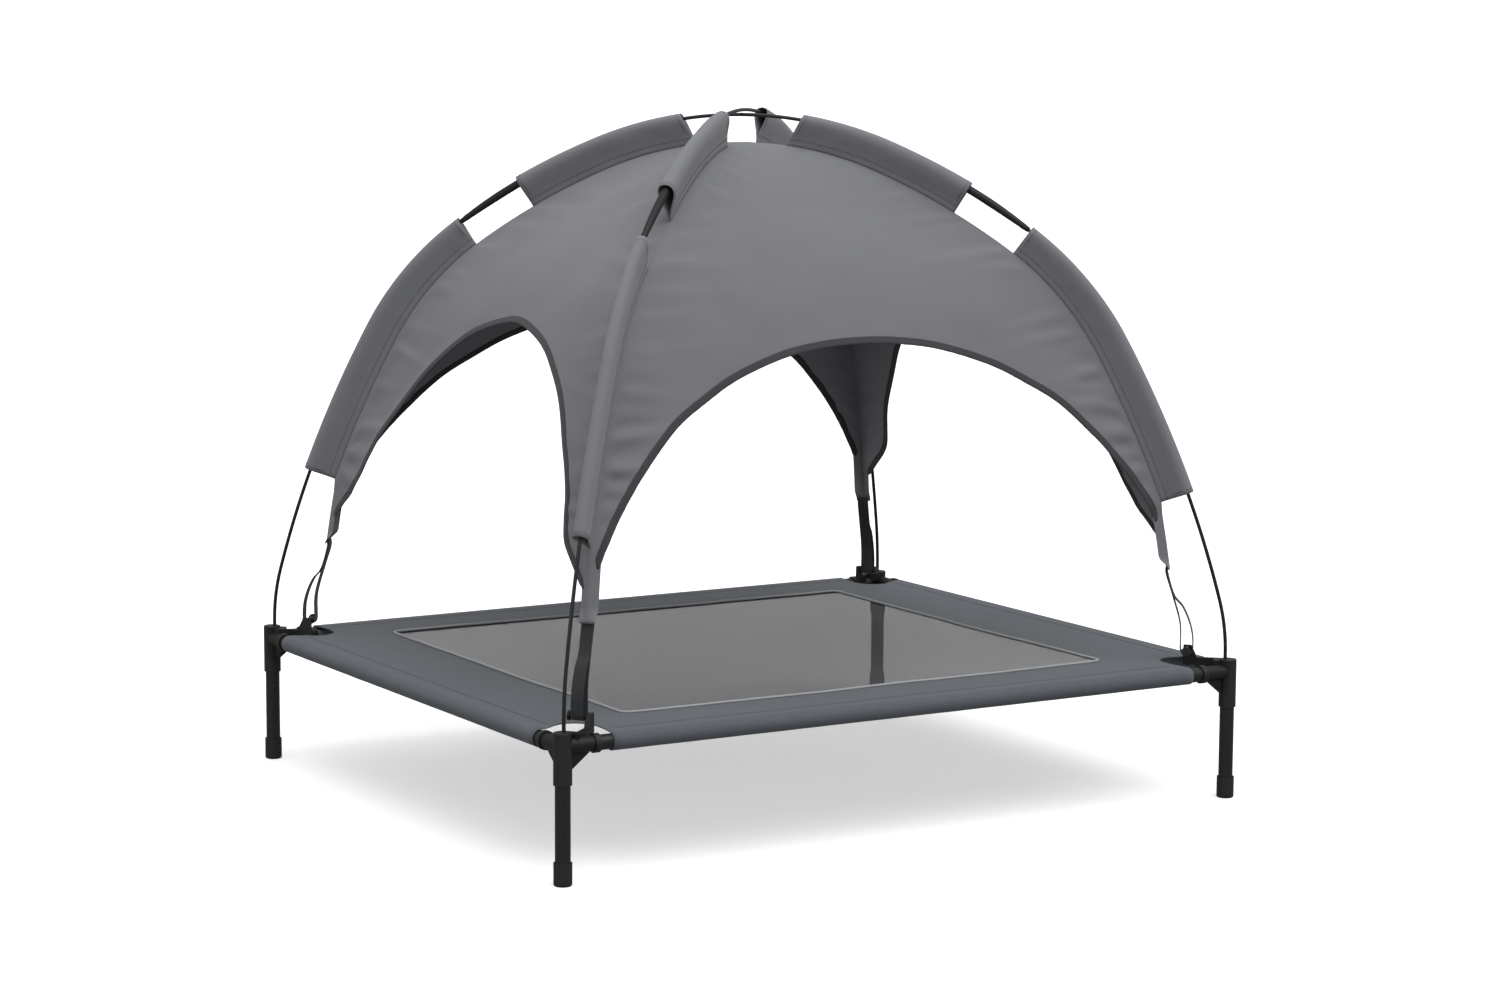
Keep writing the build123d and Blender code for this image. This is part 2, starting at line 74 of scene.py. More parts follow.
LEG = middle("leg_back_right")
HALF_X, HALF_Y = LEG[0], LEG[1]
DIAGONAL = math.hypot(HALF_X, HALF_Y)
POST_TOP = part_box("leg_back_right")[1][2] + 0.006
RAIL_HEIGHT = middle("front_rail")[2]
BED_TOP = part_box("bed_border")[1][2]
ROD_RADIUS = 0.0025
LOW_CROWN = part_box("crown_rod_lower")[1][2] - ROD_RADIUS
HIGH_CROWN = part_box("crown_rod_upper")[1][2] - ROD_RADIUS
TAIL_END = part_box("canopy_tail_back_right")[0][2]
MESH_HALF_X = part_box("mesh_panel")[1][0]
MESH_HALF_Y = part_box("mesh_panel")[1][1]
ROD_REACH = DIAGONAL - 0.004
BEND_END = POST_TOP + 0.008
ROD_SHAPE = [(0.0, 1.0), (0.302, 0.942), (0.582, 0.794), (0.778, 0.586), (0.911, 0.317), (0.986, 0.101)]
UPPER_SLEEVE = (0.083, 0.318)
LOWER_SLEEVE = (0.404, 0.628)
CROWN_LEAN = 0.016
ROD_JOIN = 0.357
JOINT_ENDS = (0.302, 0.402)
SEAM_DROP = 0.038
TAIL_REACH = 0.606
BAR_REACH, BAR_HEIGHT, BAR_RADIUS = 0.631, 0.206, 0.0045
LOOP_SPLIT = 0.283
# Arch edges, from the foot of the tail to the crown: half width and height.
LONG_ARCH = [(0.431, 0.404), (0.406, 0.444), (0.381, 0.476), (0.355, 0.505), (0.303, 0.554), (0.252, 0.585),
             (0.2, 0.611), (0.124, 0.635), (0.06, 0.645), (0.0, 0.648)]
SHORT_ARCH = [(0.349, 0.382), (0.315, 0.414), (0.285, 0.477), (0.24, 0.533), (0.2, 0.578), (0.156, 0.612),
              (0.11, 0.639), (0.056, 0.657), (0.0, 0.666)]
# Cloth cut-out at a corner: distances from the leg along X and along Y.
NOTCH = [(0.068, 0.0), (0.0715, 0.02), (0.073, 0.04), (0.0705, 0.06), (0.06, 0.074), (0.043, 0.079),
         (0.026, 0.073), (0.012, 0.063), (0.0, 0.06)]
HEM_RADIUS = 0.0119


def paint(red, green, blue):
    """A colour given as it shows on a screen, 0 to 255, as Blender's linear values."""
    return tuple(((value / 255 + 0.055) / 1.055) ** 2.4 for value in (red, green, blue)) + (1.0,)


# ---- Settings that a user may change
def colour_setting(name, description, shade):
    return bpy.props.FloatVectorProperty(name=name, description=description, default=shade, min=0, max=1,
                                         size=4, subtype="COLOR")


def length_setting(name, description, length, low, high):
    return bpy.props.FloatProperty(name=name, description=description, default=length, min=low, max=high,
                                   unit="LENGTH", subtype="DISTANCE")


class ClothSettings(bpy.types.PropertyGroup):
    canopy_colour: colour_setting("Canopy", "Outside of the canopy cloth", paint(116, 117, 122))
    # Painted light: the inside of the canopy cloth has a smooth coated finish, and its colour is painted
    # lighter than the outside to stand in for the light that reaches the inside of the canopy.
    lining_painted_light_colour: colour_setting("Lining", "Coated inside of the canopy cloth", paint(138, 139, 143))
    binding_colour: colour_setting("Binding", "Tape around the arches", paint(68, 69, 72))
    border_colour: colour_setting("Bed border", "Cloth border of the bed", paint(86, 91, 98))
    mesh_colour: colour_setting("Bed mesh", "Mesh in the middle of the bed", paint(67, 67, 70))
    braid_colour: colour_setting("Braid", "Braid between border and mesh", paint(178, 180, 183))
    thickness: length_setting("Cloth thickness", "Thickness of the canopy cloth", 0.0008, 0.0003, 0.003)
    folds: length_setting("Fold depth", "Depth of the soft folds in the canopy", 0.0045, 0.0, 0.01)
    sag: length_setting("Bed sag", "Sag of the bed cloth in its middle", 0.004, 0.0, 0.02)


class HardSettings(bpy.types.PropertyGroup):
    plastic_colour: colour_setting("Plastic", "Corner connectors and foot caps", paint(23, 23, 24))
    tube_colour: colour_setting("Tube", "Powder coat of the tubes", paint(23, 23, 24))
    rod_colour: colour_setting("Rods", "Fibreglass rods", paint(13, 13, 14))
    webbing_colour: colour_setting("Webbing", "Elastic webbing loops", paint(52, 53, 56))
    edge_radius: length_setting("Edge radius", "Rounding of moulded edges", 0.0007, 0.0001, 0.003)


class StudioSettings(bpy.types.PropertyGroup):
    floor_colour: colour_setting("Floor", "Plain floor", (0.8, 0.8, 0.8, 1.0))
    key_power: bpy.props.FloatProperty(
        name="Key light", description="Strength of the large soft light", default=1.7, min=0.0, max=20.0)
    surround: bpy.props.FloatProperty(
        name="Surround", description="Brightness of the light from all round", default=0.75, min=0.0, max=5.0,
        subtype="FACTOR")


# ---- Finishes
class Value:
    """A number that comes out of a node, for arithmetic in plain expressions."""

    def __init__(self, finish, socket):
        self.finish = finish
        self.socket = socket

    def maths(self, operation, *others):
        return self.finish.node("ShaderNodeMath", {"operation": operation}, self, *others)

    def __add__(self, other):
        return self.maths("ADD", other)

    __radd__ = __add__

    def __mul__(self, other):
        return self.maths("MULTIPLY", other)

    __rmul__ = __mul__

    def __sub__(self, other):
        return self.maths("SUBTRACT", other)

    def __rsub__(self, other):
        return self.finish.node("ShaderNodeMath", {"operation": "SUBTRACT"}, other, self)

    def sine(self):
        return self.maths("SINE")

    def positive(self):
        return self.maths("ABSOLUTE")

    def above(self, limit):
        return self.maths("GREATER_THAN", limit)


class Finish:
    """A material and the nodes that make it."""

    def __init__(self, name, **uniform):
        self.material = bpy.data.materials.new(name)
        self.material.use_nodes = True
        self.nodes = self.material.node_tree.nodes
        self.links = self.material.node_tree.links
        self.shader = self.nodes["Principled BSDF"]
        for key, value in uniform.items():
            self.shader.inputs[key.replace("_", " ")].default_value = value

    def node(self, kind, settings, *values, out=0, **named):
        """A node with its settings set first, then its sockets by place or by name."""
        made = self.nodes.new(kind)
        for key, value in settings.items():
            if key == "stops":
                self.set_stops(made.color_ramp, value)
            else:
                setattr(made, key, value)
        places = list(enumerate(values)) + [(key.replace("_", " "), value) for key, value in named.items()]
        for place, value in places:
            self.feed(made.inputs[place], value)
        return Value(self, made.outputs[out])

    def feed(self, socket, value):
        if isinstance(value, Value):
            self.links.new(value.socket, socket)
        elif value is not None:
            socket.default_value = value

    def set_stops(self, ramp, stops):
        while len(ramp.elements) < len(stops):
            ramp.elements.new(0.5)
        for element, (place, level) in zip(ramp.elements, stops):
            element.position = place
            element.color = (level, level, level, 1.0)

    def place(self):
        return self.node("ShaderNodeTexCoord", {}, out="Object")

    def cloth_place(self):
        """(along, across) of the cloth in metres."""
        return self.node("ShaderNodeUVMap", {"uv_map": "Cloth"})

    def parts(self, vector):
        split = self.node("ShaderNodeSeparateXYZ", {}, vector)
        return [Value(self, socket) for socket in split.socket.node.outputs]

    def noise(self, scale, detail, roughness):
        return self.node("ShaderNodeTexNoise", {"noise_dimensions": "3D"}, self.place(), out="Fac",
                         Scale=scale, Detail=detail, Roughness=roughness)

    def graded(self, value, *stops):
        return self.node("ShaderNodeValToRGB", {"stops": stops}, value)

    def mixed(self, share, first, second):
        made = self.nodes.new("ShaderNodeMix")
        made.data_type = "RGBA"
        self.feed(made.inputs[0], share)
        self.feed(made.inputs[6], first)
        self.feed(made.inputs[7], second)
        return Value(self, made.outputs[2])

    def bumped(self, height, strength, distance, under=None):
        return self.node("ShaderNodeBump", {}, Strength=strength, Distance=distance, Height=height,
                         Normal=under)

    def surface(self, **inputs):
        for key, value in inputs.items():
            self.feed(self.shader.inputs[key.replace("_", " ")], value)
        return self.material


def darker(colour, share):
    return tuple(channel * share for channel in colour[:3]) + (1.0,)


def woven(name, colour, pitch=0.0011, sheen=0.25, rough=0.82, depth=0.5, crease=0.35):
    """Plain-weave polyester: threads, slubs and soft tonal clouds."""
    finish = Finish(name, Sheen_Weight=sheen, Sheen_Roughness=0.6, Specular_IOR_Level=0.25)
    across, along, _ = finish.parts(finish.cloth_place())
    turn = 2 * math.pi / pitch
    weave = (across * turn).sine() * (along * turn).sine() * 0.5 + 0.5
    slub = finish.noise(420.0, 3.0, 0.6)
    clouds = finish.noise(5.5, 4.0, 0.55)
    worn = finish.noise(38.0, 5.0, 0.6)
    base = finish.mixed(clouds, darker(colour, 0.9), darker(colour, 1.08))
    base = finish.mixed(slub * 0.22, base, darker(colour, 0.78))
    # Painted highlight: the raised crossings of the weave are painted a little lighter.
    base = finish.mixed(weave * 0.12, base, darker(colour, 1.25))
    fine = finish.bumped(weave * 0.6 + slub * 0.4, depth, pitch * 0.35)
    normal = finish.bumped(worn, crease, 0.0012, fine)
    return finish.surface(Base_Color=base, Roughness=worn * 0.12 + rough - 0.06, Normal=normal)


def coated(name, colour):
    """Smooth coated back of the canopy cloth."""
    finish = Finish(name, Specular_IOR_Level=0.3)
    clouds = finish.noise(6.0, 3.0, 0.5)
    grain = finish.noise(600.0, 2.0, 0.5)
    base = finish.mixed(clouds, darker(colour, 0.88), darker(colour, 1.1))
    return finish.surface(Base_Color=base, Roughness=grain * 0.15 + 0.55,
                          Normal=finish.bumped(grain, 0.25, 0.0004))


def ribbed(name, colour, pitch=0.0016, rough=0.75):
    """Narrow woven tape or webbing with ribs across it."""
    finish = Finish(name, Sheen_Weight=0.2, Specular_IOR_Level=0.25)
    along, across, _ = finish.parts(finish.cloth_place())
    ribs = (along * (2 * math.pi / pitch)).sine() * 0.5 + 0.5
    strands = (across * (2 * math.pi / 0.0021)).sine() * 0.5 + 0.5
    fuzz = finish.noise(350.0, 3.0, 0.6)
    # Painted shade: the hollows between the ribs are painted darker than the rib crowns.
    base = finish.mixed(ribs * 0.4, darker(colour, 0.85), darker(colour, 1.15))
    base = finish.mixed(fuzz * 0.3, base, darker(colour, 0.7))
    height = ribs * 0.5 + strands * 0.3 + fuzz * 0.2
    return finish.surface(Base_Color=base, Roughness=fuzz * 0.15 + rough - 0.05,
                          Normal=finish.bumped(height, 0.7, 0.0005))


def open_mesh(name, colour, pitch=0.0022):
    """Coated mesh: a grid of coated strands with small square holes."""
    finish = Finish(name, Specular_IOR_Level=0.35)
    across, along, _ = finish.parts(finish.cloth_place())
    turn = math.pi / pitch
    warp = (across * turn).sine().positive()
    weft = (along * turn).sine().positive()
    hole = warp.above(0.86) * weft.above(0.86)
    clouds = finish.noise(4.0, 3.0, 0.5)
    grain = finish.noise(500.0, 2.0, 0.6)
    base = finish.mixed(clouds, darker(colour, 0.93), darker(colour, 1.07))
    # Painted shade: each strand is painted darker towards the holes, where it dips between its crossings.
    base = finish.mixed(warp * weft * 0.35, base, darker(colour, 0.6))
    height = (1 - warp * 0.5) * (1 - weft * 0.5)
    return finish.surface(Base_Color=base, Roughness=grain * 0.1 + 0.6, Alpha=1 - hole,
                          Normal=finish.bumped(height, 0.6, 0.0005))


def moulded(name, colour, edge=0.03):
    """Moulded plastic with a fine spark texture, flow marks and rubbed edges."""
    finish = Finish(name, Specular_IOR_Level=0.35)
    grain = finish.noise(900.0, 2.0, 0.6)
    flow = finish.noise(22.0, 3.0, 0.5)
    pointed = finish.node("ShaderNodeNewGeometry", {}, out="Pointiness")
    rubbed = finish.graded(pointed, (0.5, 0.0), (0.56, 1.0))
    base = finish.mixed(flow, darker(colour, 0.85), darker(colour, 1.15))
    base = finish.mixed(rubbed * 0.35, base, tuple(channel + edge for channel in colour[:3]) + (1.0,))
    return finish.surface(Base_Color=base, Roughness=flow * 0.16 + 0.44,
                          Normal=finish.bumped(grain * 0.7 + flow * 0.3, 0.3, 0.0003))


def powder_coated(name, colour):
    """Powder-coated steel: orange peel and a few faint scuffs along the tube."""
    finish = Finish(name, Specular_IOR_Level=0.5)
    peel = finish.noise(260.0, 2.0, 0.5)
    scuff = finish.noise(60.0, 6.0, 0.7)
    scuffed = finish.graded(scuff, (0.62, 0.0), (0.72, 1.0))
    base = finish.mixed(scuffed * 0.25, colour, darker(colour, 1.8))
    return finish.surface(Base_Color=base, Roughness=scuffed * 0.15 + 0.42,
                          Normal=finish.bumped(peel, 0.25, 0.0004))


def glossy_rod(name, colour):
    """Drawn fibreglass with faint fibres under its coat."""
    finish = Finish(name, Specular_IOR_Level=0.5, Coat_Roughness=0.2)
    fibres = finish.noise(150.0, 4.0, 0.6)
    base = finish.mixed(fibres, darker(colour, 0.8), darker(colour, 1.4))
    return finish.surface(Base_Color=base, Roughness=fibres * 0.14 + 0.3, Coat_Weight=fibres * 0.2,
                          Normal=finish.bumped(fibres, 0.12, 0.0002))


FINISHES = {}


def finish_of(name):
    """Each finish is made once, when a piece first needs it."""
    if name not in FINISHES:
        cloth, hard = bpy.context.scene.dogbed_cloth, bpy.context.scene.dogbed_hard
        makers = {
            "canopy_cloth": lambda: woven("canopy_cloth", tuple(cloth.canopy_colour)),
            # Painted light: the sleeves are the canopy cloth with its colour painted 1.12 times lighter.
            "sleeve_cloth_painted_light": lambda: woven("sleeve_cloth_painted_light", darker(cloth.canopy_colour, 1.12)),
            # Painted light: the inside of the canopy is painted lighter than its outside.
            "lining_painted_light": lambda: coated("canopy_lining_painted_light", tuple(cloth.lining_painted_light_colour)),
            "binding": lambda: ribbed("binding_tape", tuple(cloth.binding_colour)),
            "border": lambda: woven("border_cloth", tuple(cloth.border_colour), pitch=0.0013, sheen=0.15,
                                    rough=0.7, depth=0.6, crease=0.25),
            "mesh": lambda: open_mesh("bed_mesh", tuple(cloth.mesh_colour)),
            "braid": lambda: ribbed("pale_braid", tuple(cloth.braid_colour), pitch=0.0012),
            "webbing": lambda: ribbed("black_webbing", tuple(hard.webbing_colour), pitch=0.0018),
            "thread": lambda: ribbed("sewing_thread", darker(cloth.binding_colour, 1.15), pitch=0.0008),
            "pale_thread": lambda: ribbed("pale_thread", darker(cloth.braid_colour, 0.95), pitch=0.0008),
            "plastic": lambda: moulded("moulded_plastic", tuple(hard.plastic_colour)),
            "tube": lambda: powder_coated("powder_coat", tuple(hard.tube_colour)),
            "rod": lambda: glossy_rod("fibreglass", tuple(hard.rod_colour)),
        }
        FINISHES[name] = makers[name]()
    return FINISHES[name]


# ---- Shapes
class BentRod:
    """Tangent arcs from the crown outwards, in the plane of reach and height."""

    def __init__(self, crown):
        self.arcs = []
        points = [(x * ROD_REACH, BEND_END + z * (crown - BEND_END)) for x, z in ROD_SHAPE]
        slope = 0.0
        for (x0, z0), (x1, z1) in zip(points, points[1:]):
            half_turn = math.atan2(z0 - z1, x1 - x0) - slope
            radius = math.hypot(x1 - x0, z1 - z0) / 2 / math.sin(half_turn)
            self.add_arc(x0, z0, radius, slope, slope + 2 * half_turn)
            slope += 2 * half_turn
        x0, z0 = points[-1]
        self.add_arc(x0, z0, (ROD_REACH - x0) / (1 - math.sin(slope)), slope, math.pi / 2)

    def add_arc(self, x, z, radius, slope, end):
        self.arcs.append(((x - radius * math.sin(slope), z - radius * math.cos(slope)), radius, slope, end))

    def at(self, slope, offset=0.0):
        for (x, z), radius, _, end in self.arcs:
            if slope <= end + 1e-9:
                break
        return x + (radius + offset) * math.sin(slope), z + (radius + offset) * math.cos(slope)

    def slope_at(self, reach):
        for (x, _), radius, _, end in self.arcs:
            if reach <= x + radius * math.sin(end) + 1e-9:
                break
        return math.asin(min(1.0, (reach - x) / radius))

    def slopes(self, start, end, spacing):
        """Slopes at places about spacing apart between two reaches."""
        low, high = self.slope_at(start), self.slope_at(end)
        found = [low]
        for _, radius, first, last in self.arcs:
            first, last = max(first, low), min(last, high)
            if last - first > 1e-7:
                count = max(1, round(radius * (last - first) / spacing))
                found += [first + (last - first) * step / count for step in range(1, count + 1)]
        return found


LOW_ROD = BentRod(LOW_CROWN)
HIGH_ROD = BentRod(HIGH_CROWN)
RODS = {"front_left": HIGH_ROD, "back_right": HIGH_ROD, "front_right": LOW_ROD, "back_left": LOW_ROD}


def evenly(points, count):
    """The same line with count points evenly along it."""
    points = np.array(points, float)
    along = np.concatenate([[0], np.cumsum(np.linalg.norm(np.diff(points, axis=0), axis=1))])
    wanted = np.linspace(0, along[-1], count)
    return np.stack([np.interp(wanted, along, points[:, k]) for k in range(points.shape[1])], axis=1)


def rounded(points, steps=8):
    """A smooth line through points."""
    points = [np.array(p, float) for p in points]
    padded = [2 * points[0] - points[1]] + points + [2 * points[-1] - points[-2]]
    line = []
    for a, b, c, d in zip(padded, padded[1:], padded[2:], padded[3:]):
        for step in range(steps):
            t = step / steps
            line.append(0.5 * (2 * b + (c - a) * t + (2 * a - 5 * b + 4 * c - d) * t * t
                               + (3 * b - a - 3 * c + d) * t ** 3))
    return np.array(line + [points[-1]])


def unit(vectors):
    return vectors / np.maximum(np.linalg.norm(vectors, axis=-1, keepdims=True), 1e-12)


def outward(corner):
    """Unit vector along the diagonal to a corner."""
    x, y = CORNERS[corner]
    return np.array([x * HALF_X, y * HALF_Y, 0.0]) / DIAGONAL


def in_corner(corner, reach, height, lateral=0.0):
    """A place given along the diagonal, upward, and sideways of the diagonal."""
    along = outward(corner)
    side = np.array([-along[1], along[0], 0.0])
    return along * reach + side * lateral + np.array([0, 0, height])


def rough_noise(point, scale, seed=0.0):
    x, y, z = point
    return noise.noise(Vector((x * scale + seed, y * scale - seed, z * scale + 2 * seed)))


def new_object(name, vertices, faces, materials, uvs=None):
    """A mesh object. uvs are one place on the cloth for each vertex."""
    mesh = bpy.data.meshes.new(name)
    mesh.from_pydata([tuple(v) for v in vertices], [], [tuple(f) for f in faces])
    for material in materials:
        mesh.materials.append(material)
    layer = mesh.uv_layers.new(name="Cloth")
    if uvs is not None:
        index = np.zeros(len(mesh.loops), np.int32)
        mesh.loops.foreach_get("vertex_index", index)
        layer.data.foreach_set("uv", np.array(uvs, np.float32)[index].ravel())
    mesh.polygons.foreach_set("use_smooth", [True] * len(mesh.polygons))
    mesh.validate()
    obj = bpy.data.objects.new(name, mesh)
    bpy.context.scene.collection.objects.link(obj)
    return obj


def grid_faces(rows, columns, start=0, closed=False):
    faces = []
    width = columns if closed else columns - 1
    for i in range(rows - 1):
        for j in range(width):
            k = (j + 1) % columns
            a, b = start + i * columns + j, start + i * columns + k
            faces.append((a, b, b + columns, a + columns))
    return faces


def clean(obj, distance=1e-5):
    """Joins points that coincide and turns all faces the same way."""
    mesh = bmesh.new()
    mesh.from_mesh(obj.data)
    bmesh.ops.remove_doubles(mesh, verts=mesh.verts, dist=distance)
    bmesh.ops.dissolve_degenerate(mesh, edges=mesh.edges, dist=1e-6)
    bmesh.ops.recalc_face_normals(mesh, faces=mesh.faces)
    mesh.to_mesh(obj.data)
    mesh.free()


def thicken(obj, thickness, inner_slot=0):
    layer = obj.modifiers.new("Thickness", "SOLIDIFY")
    layer.thickness = thickness
    layer.offset = -1.0
    layer.material_offset = inner_slot


def sweep(name, line, sections, materials, side=(0, 0, 1), caps=True):
    """A closed section carried along a line.

    sections is one ring of (across, up) places, or one ring for each point of the line.
    """
    line = np.array(line, float)
    tangents = unit(np.gradient(line, axis=0))
    lead = np.array(side, float)
    rings, uvs = [], []
    lengths = np.concatenate([[0], np.cumsum(np.linalg.norm(np.diff(line, axis=0), axis=1))])
    same = np.ndim(sections[0][0]) == 0
    for i, (point, tangent) in enumerate(zip(line, tangents)):
        up = lead[i] if lead.ndim == 2 else lead
        across = unit(np.cross(tangent, up))
        upward = unit(np.cross(across, tangent))
        ring = np.array(sections if same else sections[i], float)
        rings.append(point + ring[:, :1] * across + ring[:, 1:] * upward)
        around = np.concatenate([[0], np.cumsum(np.linalg.norm(np.diff(ring, axis=0), axis=1))])
        uvs.append(np.stack([np.full(len(ring), lengths[i]), around], axis=1))
    count = len(rings[0])
    vertices = np.concatenate(rings)
    faces = grid_faces(len(line), count, closed=True)
    if caps:
        faces += [tuple(range(count))[::-1], tuple(range(len(vertices) - count, len(vertices)))]
    obj = new_object(name, vertices, faces, materials, np.concatenate(uvs))
    clean(obj)
    return obj


def oval(half_width, half_height, count=14, power=2.6):
    """A flattened round section, squarer as power grows."""
    ring = []
    for step in range(count):
        angle = 2 * math.pi * step / count
        c, s = math.cos(angle), math.sin(angle)
        ring.append((half_width * math.copysign(abs(c) ** (2 / power), c),
                     half_height * math.copysign(abs(s) ** (2 / power), s)))
    return ring


def stitches(name, rows, material, length=0.0028, gap=0.0016, radius=0.00035):
    """Rows of single stitches. A row is its points and the outward direction at each."""
    vertices, faces = [], []
    for points, normals in rows:
        points, normals = np.array(points, float), np.array(normals, float)
        total = np.linalg.norm(np.diff(points, axis=0), axis=1).sum()
        count = max(2, int(total / (length + gap)) * 2)
        both = evenly(np.concatenate([points, normals], axis=1), count)
        for a, b in zip(both[0::2], both[1::2]):
            normal = unit(a[3:])
            along = unit(b[:3] - a[:3])
            side = np.cross(along, normal)
            start = len(vertices)
            middle_point = (a[:3] + b[:3]) / 2 + normal * radius * 1.2
            half = along * length / 2
            ring = [side * radius, normal * radius, -side * radius, -normal * radius]
            vertices.append(middle_point - half - normal * radius)
            vertices += [middle_point - half * 0.6 + r for r in ring]
            vertices += [middle_point + half * 0.6 + r for r in ring]
            vertices.append(middle_point + half - normal * radius)
            for k in range(4):
                n = (k + 1) % 4
                faces.append((start, start + 1 + k, start + 1 + n))
                faces.append((start + 1 + k, start + 5 + k, start + 5 + n, start + 1 + n))
                faces.append((start + 5 + k, start + 9, start + 5 + n))
    uvs = [(v[0] + v[1], v[2]) for v in vertices]
    obj = new_object(name, vertices, faces, [material], uvs)
    clean(obj, 1e-7)
    return obj


# ---- Canopy
RIDGE_ROWS = 180
TAIL_ROWS = 14
TAIL_LEG = 0.0165
TAIL_HALF_WIDTH = 0.0112
ACROSS_ROWS = 46
# Folds reach their full depth FOLD_FADE away from a seam or an arch edge. A gore about as wide as LEG_WIDTH
# also gets fine cross folds.
FOLD_FADE = 0.03
LEG_WIDTH = 0.06
LEG_WAVE = 0.0052
# Small puckers along the seams, and how far a panel curves in between its seam and its arch edge.
PUCKER_WAVE = 0.0023
PUCKER_REACH = 0.012
PUCKER_DEPTH = 0.00035
PANEL_HOLLOW = 0.0022
# The tail is pressed flat below this height, a little more over each part of FLAT_OVER.
FLAT_FROM = TAIL_END + 0.018
FLAT_OVER = 0.016


def ridge_line():
    """(reach, height) of the corner seams, from the end of the tail up to the crown."""
    slopes = LOW_ROD.slopes(0.0, LOWER_SLEEVE[1], 0.006)
    curve = [LOW_ROD.at(slope, -SEAM_DROP) for slope in slopes][::-1]
    return np.array([(TAIL_REACH, TAIL_END), (0.6, 0.36), (0.594, 0.395)] + curve)


RIDGE = evenly(ridge_line(), 400)
RIDGE_ALONG = np.linspace(0, 1, 400)
RIDGE_LENGTH = float(np.linalg.norm(np.diff(RIDGE, axis=0), axis=1).sum())


def ridge_share(height):
    """How far up the seam a height is, from 0 at the tail's end to 1 at the crown."""
    return np.interp(height, RIDGE[:, 1], RIDGE_ALONG)


def ridge_at(share):
    return np.stack([np.interp(share, RIDGE_ALONG, RIDGE[:, k]) for k in (0, 1)], axis=-1)


def side_axes(side):
    """Sideways and outward unit vectors, half span and distance of one side of the canopy."""
    if side in ("front", "back"):
        sign = -1 if side == "front" else 1
        return np.array([-sign, 0, 0.0]), np.array([0, sign, 0.0]), HALF_X, HALF_Y
    sign = -1 if side == "left" else 1
    return np.array([0, sign, 0.0]), np.array([sign, 0, 0.0]), HALF_Y, HALF_X


def tail_top(side):
    """Height where the arch of a side meets its tails."""
    return 0.387 if side in ("front", "back") else 0.362


def gore_edges(side):
    """Corner seam and arch edge of half a gore: matching rows of (sideways, seam share), from the tail up."""
    _, _, half_span, _ = side_axes(side)
    squeeze = half_span / DIAGONAL
    arch = LONG_ARCH if side in ("front", "back") else SHORT_ARCH
    rows = RIDGE_ROWS - TAIL_ROWS
    split = ridge_share(tail_top(side))
    shares = np.concatenate([np.linspace(0, split, TAIL_ROWS + 1), np.linspace(split, 1, rows + 1)[1:]])
    seam = ridge_at(shares)[:, 0] * squeeze
    tail = seam[:TAIL_ROWS + 1] - TAIL_LEG
    past_crown = (-arch[-2][0], arch[-2][1])
    half = rounded([(tail[-1], tail_top(side))] + list(arch) + [past_crown], 10)[:-10]
    half = evenly(half, rows + 1)
    sideways = np.concatenate([tail, half[1:, 0]])
    heights = np.concatenate([ridge_at(shares[:TAIL_ROWS + 1])[:, 1], half[1:, 1]])
    return np.stack([seam, shares], axis=1), np.stack([sideways, ridge_share(heights)], axis=1)


def drawn_folds(seed):
    """Soft folds that start at a corner seam: (place along it, droop, length, width, depth)."""
    chance = random.Random(seed)
    folds = []
    for number in range(17):
        place = 0.14 + 0.052 * number + chance.uniform(-0.015, 0.015)
        droop = chance.uniform(-0.2, 0.15) - (0.6 if number > 10 else 0.0)
        folds.append((place, droop, chance.uniform(0.05, 0.11), chance.uniform(0.007, 0.012),
                      chance.uniform(0.3, 1.0)))
    return folds


def fold_height(folds, along, from_seam):
    """Height of the drawn folds at one place, as a share of the fold depth."""
    height = 0.0
    start = 1 - math.exp(-from_seam / 0.014)
    for place, droop, length, width, depth in folds:
        off = (along - place - droop * from_seam) / width
        if abs(off) < 4:
            ridge = math.exp(-off * off) - 0.6 * math.exp(-((off - 1.7) / 1.4) ** 2)
            height += depth * ridge * start * math.exp(-(from_seam / length) ** 2)
    return height


